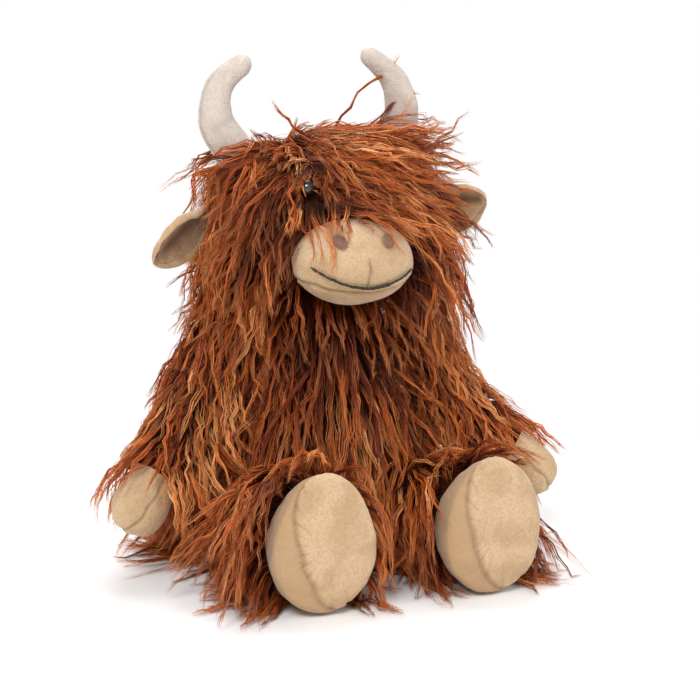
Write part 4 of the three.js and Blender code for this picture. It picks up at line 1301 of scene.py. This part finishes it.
def makeNostril(side, sign, rng):
    paths = []
    for u in np.linspace(-1, 1, nostril["stitches"]):
        reach = math.sqrt(max(0.02, 1 - u * u)) * nostril["halfHigh"] * rng.uniform(0.92, 1.06)
        x = sign * nostril["out"] + nostril["aside"] + u * nostril["halfWide"]
        z = nostril["height"] + np.linspace(-reach, reach, 7)
        paths.append(muzzlePoint(x + 0.06 * (z - nostril["height"]) * sign, z) + np.array([0, -0.5, 0]))
    layThreads(f"nostril_{side}_stitches", paths, np.ones(len(paths)), 0.42, nostrilThread,
               f"nostril_{side}")


# Each stitch of the smile is two threads side by side, thinner towards the cow's left
def makeSmile(rng):
    paths = []
    marks = np.linspace(smile["from"], smile["to"], smile["stitches"] + 1)
    for start, end in zip(marks[:-1], marks[1:]):
        x = np.linspace(start - 0.6, end + 0.6, 5)
        z = smileHeight(x) + rng.uniform(-0.25, 0.25)
        paths.append(muzzlePoint(x, z) + np.array([0, -0.55, 0]))
        paths.append(muzzlePoint(x + 0.9, z - 0.55 + rng.uniform(-0.15, 0.15)) + np.array([0, -0.5, 0]))
    weights = np.repeat(np.where(marks[:-1] < smile["thinFrom"], 1.25, 0.65), 2)
    layThreads("smile_stitches", paths, weights, 0.7, smileThread, "smile_stitch")


stitchRandom = np.random.default_rng(5)
for side, sign in sides.items():
    makeNostril(side, sign, stitchRandom)
makeSmile(stitchRandom)
print("muzzle sewn")

# A mitt's half widths by how far out from the wrist they are
mitt = {-15: 5, -12: 11, -7: 15.5, 0: 17, 8: 18.2, 16: 19.6, 24: 20, 32: 19.2, 38: 16.4, 42: 12,
        44.5: 6.6, 45.4: 2.2}


# Hands: a mitt with its seam down the middle
def makeHand(side, sign):
    way, wrist = mirrored(hand["way"], sign), armPoints(sign)[2]
    line, thick = curved(wrist + np.outer(list(mitt), way), 34, list(mitt.values()))
    grid = tubeGrid(line, np.stack([thick, thick * 0.9], axis=1), 56, across=(0, -1, 0))
    across = unit(np.cross(way, np.array([0, -1.0, 0])))
    piece = closedForm(f"hand_{side}_mitt", grid, tanPlush)
    puff(piece, lambda p: (np.abs((p - wrist) @ across) < 3) | ((p - wrist) @ way < 2), start=1.2, limit=1.6)
    subdivide(piece, 1)
    points, _ = shapeOf(piece)
    apart = np.abs((points - wrist) @ across + 0.8 * drift(points, 20, 70 + sign))
    groove = 1.2 * bell(apart, 0.9) * smooth(2, 10, (points - wrist) @ way)
    pucker = 0.45 * drift(points, 11, 72) * bell(apart, 6) + 0.4 * drift(points, 24, 73)
    # The seam's groove is painted darker: the seam line with painted shade in it
    sewn(piece, pucker, groove, groove * 0.45, f"hand_{side}",
         [f"hand_{side}_{part}" for part in ("outer_panel", "inner_panel", "stuffing")])


# A foot's rows: out from the ankle, half width, bottom, top, egg
footRows = [
    (-22, 12, 29, 55, 0), (-16, 19, 22, 62, 0), (-8, 24, 17, 67, 0), (0, 27, 14, 71, 0.02),
    (6, 30, 7.5, 75, 0.05), (13, 33, 2.4, 81, 0.09), (22, 34.4, 0.7, 87, 0.12), (29, 34.6, 0.5, 89, 0.12),
    (33, 34.4, 0.6, 91, 0.12), (35.5, 33.4, 1.6, 90.2, 0.12), (37.6, 30.5, 4.5, 87, 0.12),
    (39.4, 25.5, 10, 81.5, 0.12), (40.8, 18, 18.5, 72, 0.1), (41.6, 9, 29.5, 60, 0.08), (41.9, 2, 41, 47, 0),
]
# Where the foot's ankle and the sole's seam are from front to back, how the seam turns and leans, the ankle's
# held part, and how many puckers gather the seam
footSeam = {"ankle": -134, "sole": -166, "turn": 0.4, "lean": 0.12, "held": -142, "puckers": 21}


# Feet: an egg-shaped crowned sole, seamed all round to the upper
def footGrid(middle, rings=36, count=56):
    angle = ringAngles(count)
    fine = np.linspace(0, len(footRows) - 1, rings)
    columns = [np.interp(fine, np.arange(len(footRows)), column) for column in np.array(footRows).T]
    grid = []
    for out, half, bottom, top, egg in zip(*columns):
        centre, high = (bottom + top) / 2, (top - bottom) / 2
        wide = half * np.cos(angle) * (1 - egg * np.sin(angle))
        grid.append(pointsFrom(middle + wide, footSeam["ankle"] - out, centre + high * np.sin(angle)))
    return np.array(grid)


def makeFoot(side, sign):
    middle, _, level = footMiddle(sign)

    def seamPlane(p):
        across, up = p[:, 0] - middle, p[:, 2] - level
        return footSeam["sole"] + footSeam["turn"] * across + footSeam["lean"] * up

    def heldPart(p):
        return (np.abs(p[:, 1] - seamPlane(p)) < 3) | (p[:, 1] > footSeam["held"]) | (p[:, 2] < 2)

    piece = closedForm(f"foot_{side}_stuffed", footGrid(middle), tanPlush)
    puff(piece, heldPart, start=1.3, limit=1.9)
    subdivide(piece, 2)
    points, normals = shapeOf(piece)
    x, y, z = points.T
    seamAt = seamPlane(points) + 0.5 * drift(points, 22, 80 + sign)
    apart, front = np.abs(y - seamAt), y < seamAt
    turn = np.arctan2(z - level, x - middle)
    puckers = np.maximum(0, np.sin(footSeam["puckers"] * turn + 1.8 * np.sin(3 * turn + sign))) ** 4
    groove = 1.3 * bell(apart, 1.1)
    uneven = 0.65 + 0.35 * drift(points, 30, 86 + sign)
    gather = puckers * uneven * smooth(8, 20, np.hypot(x - middle, z - level))
    gather = gather * bell(apart, np.where(front, 6.5, 3)) * np.where(front, 1.3, 0.5)
    soft = 0.5 * drift(points, 34, 82 + sign) + 0.2 * drift(points, 13, 84)
    moved = points + normals * ((soft - groove - gather) * smooth(1.0, 5.0, z))[:, None]
    moved[:, 2] = np.maximum(moved[:, 2], 0.5)
    moveTo(piece, moved)
    # The seam is painted darker in its groove and puckers: the seam line with painted shade
    store(piece, "seamAndShade", np.clip(0.38 * groove + 0.12 * gather, 0, 1))
    # The side panel behind the seam is painted darker, as the shade on the side turned from the light
    store(piece, "panel", smooth(-0.8, 0.8, y - seamAt))
    nodes = [f"foot_{side}_{part}" for part in ("upper", "sole", "stuffing")]
    settle(piece, f"foot_{side}", nodes)


# Horns: curved and tapering, with a seam along the outside
def makeHorn(side, sign):
    line, thick = curved(horns[side], 40, horns["radii"])
    thick = thick * np.sqrt(1 - np.clip(1 - lengthOf(line - line[-1]) / horns["cap"], 0, 0.985) ** 2)
    piece = closedForm(f"horn_{side}_stuffed", tubeGrid(line, thick, 48, across=(0, 1, 0)), hornPlush)
    puff(piece, lambda p: p[:, 2] < horns["sewnBelow"], start=0.8, limit=0.9)
    subdivide(piece, 1)
    points, normals = shapeOf(piece)
    groove = 0.7 * bell(np.abs(normals[:, 1] + 0.25), 0.09) * smooth(0.5, 0.8, normals[:, 0] * sign)
    soft = 0.4 * drift(points, 26, 90 + sign) + 0.15 * drift(points, 9, 91)
    nodes = [f"horn_{side}_cover", f"horn_{side}_stuffing"]
    # The seam's groove is painted darker: the seam line with painted shade in it
    sewn(piece, soft, groove, groove * 0.7, "head", nodes)


for side, sign in sides.items():
    makeHand(side, sign)
    makeFoot(side, sign)
    makeHorn(side, sign)
print("hands, feet and horns sewn")

# An ear's half height, cup and fold in degrees, by shares of its length. For each layer, the inner and the
# outer face lie that far off the leaf, and that much farther at the rolled rim, and the crease value is how
# much painted shade darkens the lining's hollow.
leaf = {
    "at": [-0.36, 0, 0.2, 0.42, 0.64, 0.82, 0.95, 1], "tall": [0.3, 0.55, 0.88, 1, 0.95, 0.74, 0.4, 0.14],
    "cup": [0.35, 0.9, 1, 1, 0.85, 0.6, 0.3, 0.1], "fold": [118, 118, 112, 104, 96, 88, 80, 70],
    "rows": 26, "count": 21, "halfTall": 19, "deep": 10, "long": 44,
    "back": {"inner": (0, -1.2), "outer": (2.2, 1.2), "share": 1.0, "reach": 1, "finish": tanPlush,
             "slot": "tan_plush", "creaseShade": 0},
    "lining": {"inner": (-1.5, -0.2), "outer": (-0.2, -1.2), "share": 0.74, "reach": 0.92,
               "finish": earLining, "slot": "ear_lining", "creaseShade": 0.95},
}


# Ears: a cupped leaf of two layers, whose lower flap lies more open than the upper one. The lining's hollow
# under the upper rim is painted dark, as its shade.
def makeEar(side, sign):
    pivot, shape = earPivot(side), ear[side]
    share = np.linspace(leaf["at"][0], 1, leaf["rows"])
    tall = leaf["halfTall"] * np.interp(share, leaf["at"], leaf["tall"])
    cup = leaf["deep"] * np.interp(share, leaf["at"], leaf["cup"])
    fold = np.radians(np.interp(share, leaf["at"], leaf["fold"]))
    turn = earTurn(side) @ turnAbout(0, shape["roll"])
    across = np.linspace(-1, 1, leaf["count"])
    rim = smooth(0.45, 0.85, np.abs(across))
    thin = np.sqrt(np.clip(1 - across**6, 0.03, 1))
    opened = np.where(across < 0, shape["open"], 1)
    for label in ("back", "lining"):
        layer = leaf[label]
        rings = []
        for i, at in enumerate(share):
            flap = np.where(across < 0, 1 + (shape["flap"] - 1) * smooth(0.6, 0, at), 1)
            angle = fold[i] * across * layer["share"] * opened
            curve = -cup[i] * (1 - np.cos(angle)) / (1 - math.cos(fold[i]))
            height = flap * tall[i] * np.sin(angle) / math.sin(min(fold[i], math.pi / 2))
            x = sign * (at * shape["reach"] * layer["reach"])
            faces = []
            for flat, rolled in (layer["outer"], layer["inner"]):
                off = (flat + rolled * rim) * thin
                faces.append(pointsFrom(x, curve + off * np.cos(angle), height + off * np.sin(angle)))
            rings.append(np.concatenate([faces[0], faces[1][::-1]]))
        piece = closedForm(f"ear_{side}_{label}_leaf", np.array(rings) @ turn.T + pivot, layer["finish"])
        subdivide(piece, 1)
        points, normals = shapeOf(piece)
        moveTo(piece, points + normals * (0.35 * drift(points, 15, 95))[:, None])
        local = (points - pivot) @ turn
        out = np.abs(local[:, 0]) / leaf["long"]
        # Painted shade in the lining's hollow under the upper rim, narrower towards the tip
        creaseShade = bell(local[:, 2] - 6 + 3 * out, 9 - 5 * out) * smooth(1, 0.7, out)
        store(piece, "seamAndShade", creaseShade * layer["creaseShade"])
        settle(piece, f"ear_{side}", [f"ear_{side}_{label}"])


# Eyes: a glossy cap on a thin shank in a hollow of the pile
def makeEye(side, sign):
    middle, radius = mirrored(eye["place"], sign), eye["radius"]
    way = unit(middle - np.array([0, head["middle"][1], middle[2]]))
    turns = np.linspace(0, math.pi / 2 - 0.05, 12)
    line = [middle - way * eye["shankLong"], middle - way * 0.6, middle - way * 0.3]
    line += [middle + way * radius * math.sin(t) for t in turns]
    sizes = [eye["shank"], eye["shank"], eye["edge"]] + [radius * math.cos(t) for t in turns]
    settle(closedForm(f"eye_{side}_cap", tubeGrid(line, sizes, 32), eyeGloss), "head",
           [f"eye_{side}"])
    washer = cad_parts[f"eye_washer_{side}"].data
    washer.materials.clear()
    washer.materials.append(washerPlastic)


# The seat's half sizes, and its rows: height and how much wider
seat = {"wide": 74, "deep": 62, "rows": ((0.05, -1.5), (0.4, 0), (2.6, 0), (3.0, -1.5))}


def makeSeat(count=48):
    angle = ringAngles(count)
    grid = []
    for z, wider in seat["rows"]:
        x, y = (seat["wide"] + wider) * np.cos(angle), (seat["deep"] + wider) * np.sin(angle)
        grid.append(pointsFrom(x, y, z))
    settle(closedForm("seat_base", np.array(grid), backingCloth), "torso", ["seat_panel"])


for make in (makeEar, makeEye):
    for side, sign in sides.items():
        make(side, sign)
makeSeat()
print("ears, eyes and seat done")

# The studio, in metres
lampAim = (0, 0, 0.15)
lamps = {
    "keyLamp": {"place": (-0.9, -1.3, 1.5), "size": 0.8, "power": 22},
    "fillLamp": {"place": (1.4, -1.0, 0.9), "size": 1.2, "power": 7},
    "topLamp": {"place": (0.1, 0.5, 1.7), "size": 0.9, "power": 13},
}


# Puts a lamp or a camera at a place and turns it to look along a way
def aimed(made, place, way):
    made.location = place
    made.rotation_mode = "QUATERNION"
    made.rotation_quaternion = way.to_track_quat("-Z", "Y")


for name, values in lamps.items():
    lamp = bpy.data.lights.new(name, "AREA")
    lamp.shape, lamp.size, lamp.energy = "DISK", values["size"], values["power"]
    aimed(linked(name, lamp), values["place"], Vector(lampAim) - Vector(values["place"]))


def makeWorld():
    world = bpy.data.worlds.new("studio")
    bpy.context.scene.world = world
    world.use_nodes = True
    tree = world.node_tree
    tree.nodes.clear()
    rays = add(tree, "ShaderNodeLightPath")
    seen = maths(tree, "MAXIMUM", rays.outputs["Is Camera Ray"],
                 maths(tree, "MAXIMUM", rays.outputs["Is Glossy Ray"], rays.outputs["Is Transmission Ray"]))
    plain = add(tree, "ShaderNodeBackground", {"Color": (1, 1, 1, 1), "Strength": 0.62})
    shown = add(tree, "ShaderNodeBackground", {"Color": (1, 1, 1, 1), "Strength": 1.0})
    both = add(tree, "ShaderNodeMixShader", {0: seen, 1: plain.outputs[0], 2: shown.outputs[0]})
    add(tree, "ShaderNodeOutputWorld", {"Surface": both.outputs[0]})


# The floor fades into the white background between two distances
floor = {"half": 3000, "fadeFrom": 0.16, "fadeTo": 0.5}


def makeFloor():
    made, tree, shader = newMaterial("studioFloor")
    feed(tree, shader, {"Base Color": (0.95, 0.95, 0.95, 1), "Roughness": 0.9, "Specular IOR Level": 0.1})
    far = add(tree, "ShaderNodeVectorMath", {0: objectPlace(tree)}, operation="LENGTH").outputs["Value"]
    rays = add(tree, "ShaderNodeLightPath")
    fade = maths(tree, "MULTIPLY", ranged(tree, far, floor["fadeFrom"], floor["fadeTo"]),
                 rays.outputs["Is Camera Ray"])
    glow = add(tree, "ShaderNodeEmission", {"Color": (1, 1, 1, 1), "Strength": 1.0})
    both = add(tree, "ShaderNodeMixShader", {0: fade, 1: shader.outputs[0], 2: glow.outputs[0]})
    tree.links.new(both.outputs[0], tree.nodes["Material Output"].inputs["Surface"])
    half = floor["half"]
    piece = meshPiece("floor", [(-half, -half, 0), (half, -half, 0), (half, half, 0), (-half, half, 0)],
                      faces=[(0, 1, 2, 3)])
    piece.data.materials.append(made)


view = {"azimuth": -20, "elevation": 7, "distance": 1.05, "aim": (0, 0, 0.19), "lens": 75.6, "sensor": 36,
        "shiftX": 0.0544, "shiftY": -0.1097, "near": 0.05, "far": 20}


def makeCamera():
    lens = bpy.data.cameras.new("camera")
    lens.lens, lens.sensor_width = view["lens"], view["sensor"]
    lens.shift_x, lens.shift_y = view["shiftX"], view["shiftY"]
    lens.clip_start, lens.clip_end = view["near"], view["far"]
    made = linked("camera", lens)
    turn, rise = math.radians(view["azimuth"]), math.radians(view["elevation"])
    back = Vector((math.sin(turn) * math.cos(rise), -math.cos(turn) * math.cos(rise), math.sin(rise)))
    aimed(made, Vector(view["aim"]) + back * view["distance"], -back)
    bpy.context.scene.camera = made


makeWorld()
makeFloor()
makeCamera()
bpy.context.scene.view_settings.view_transform = "Standard"
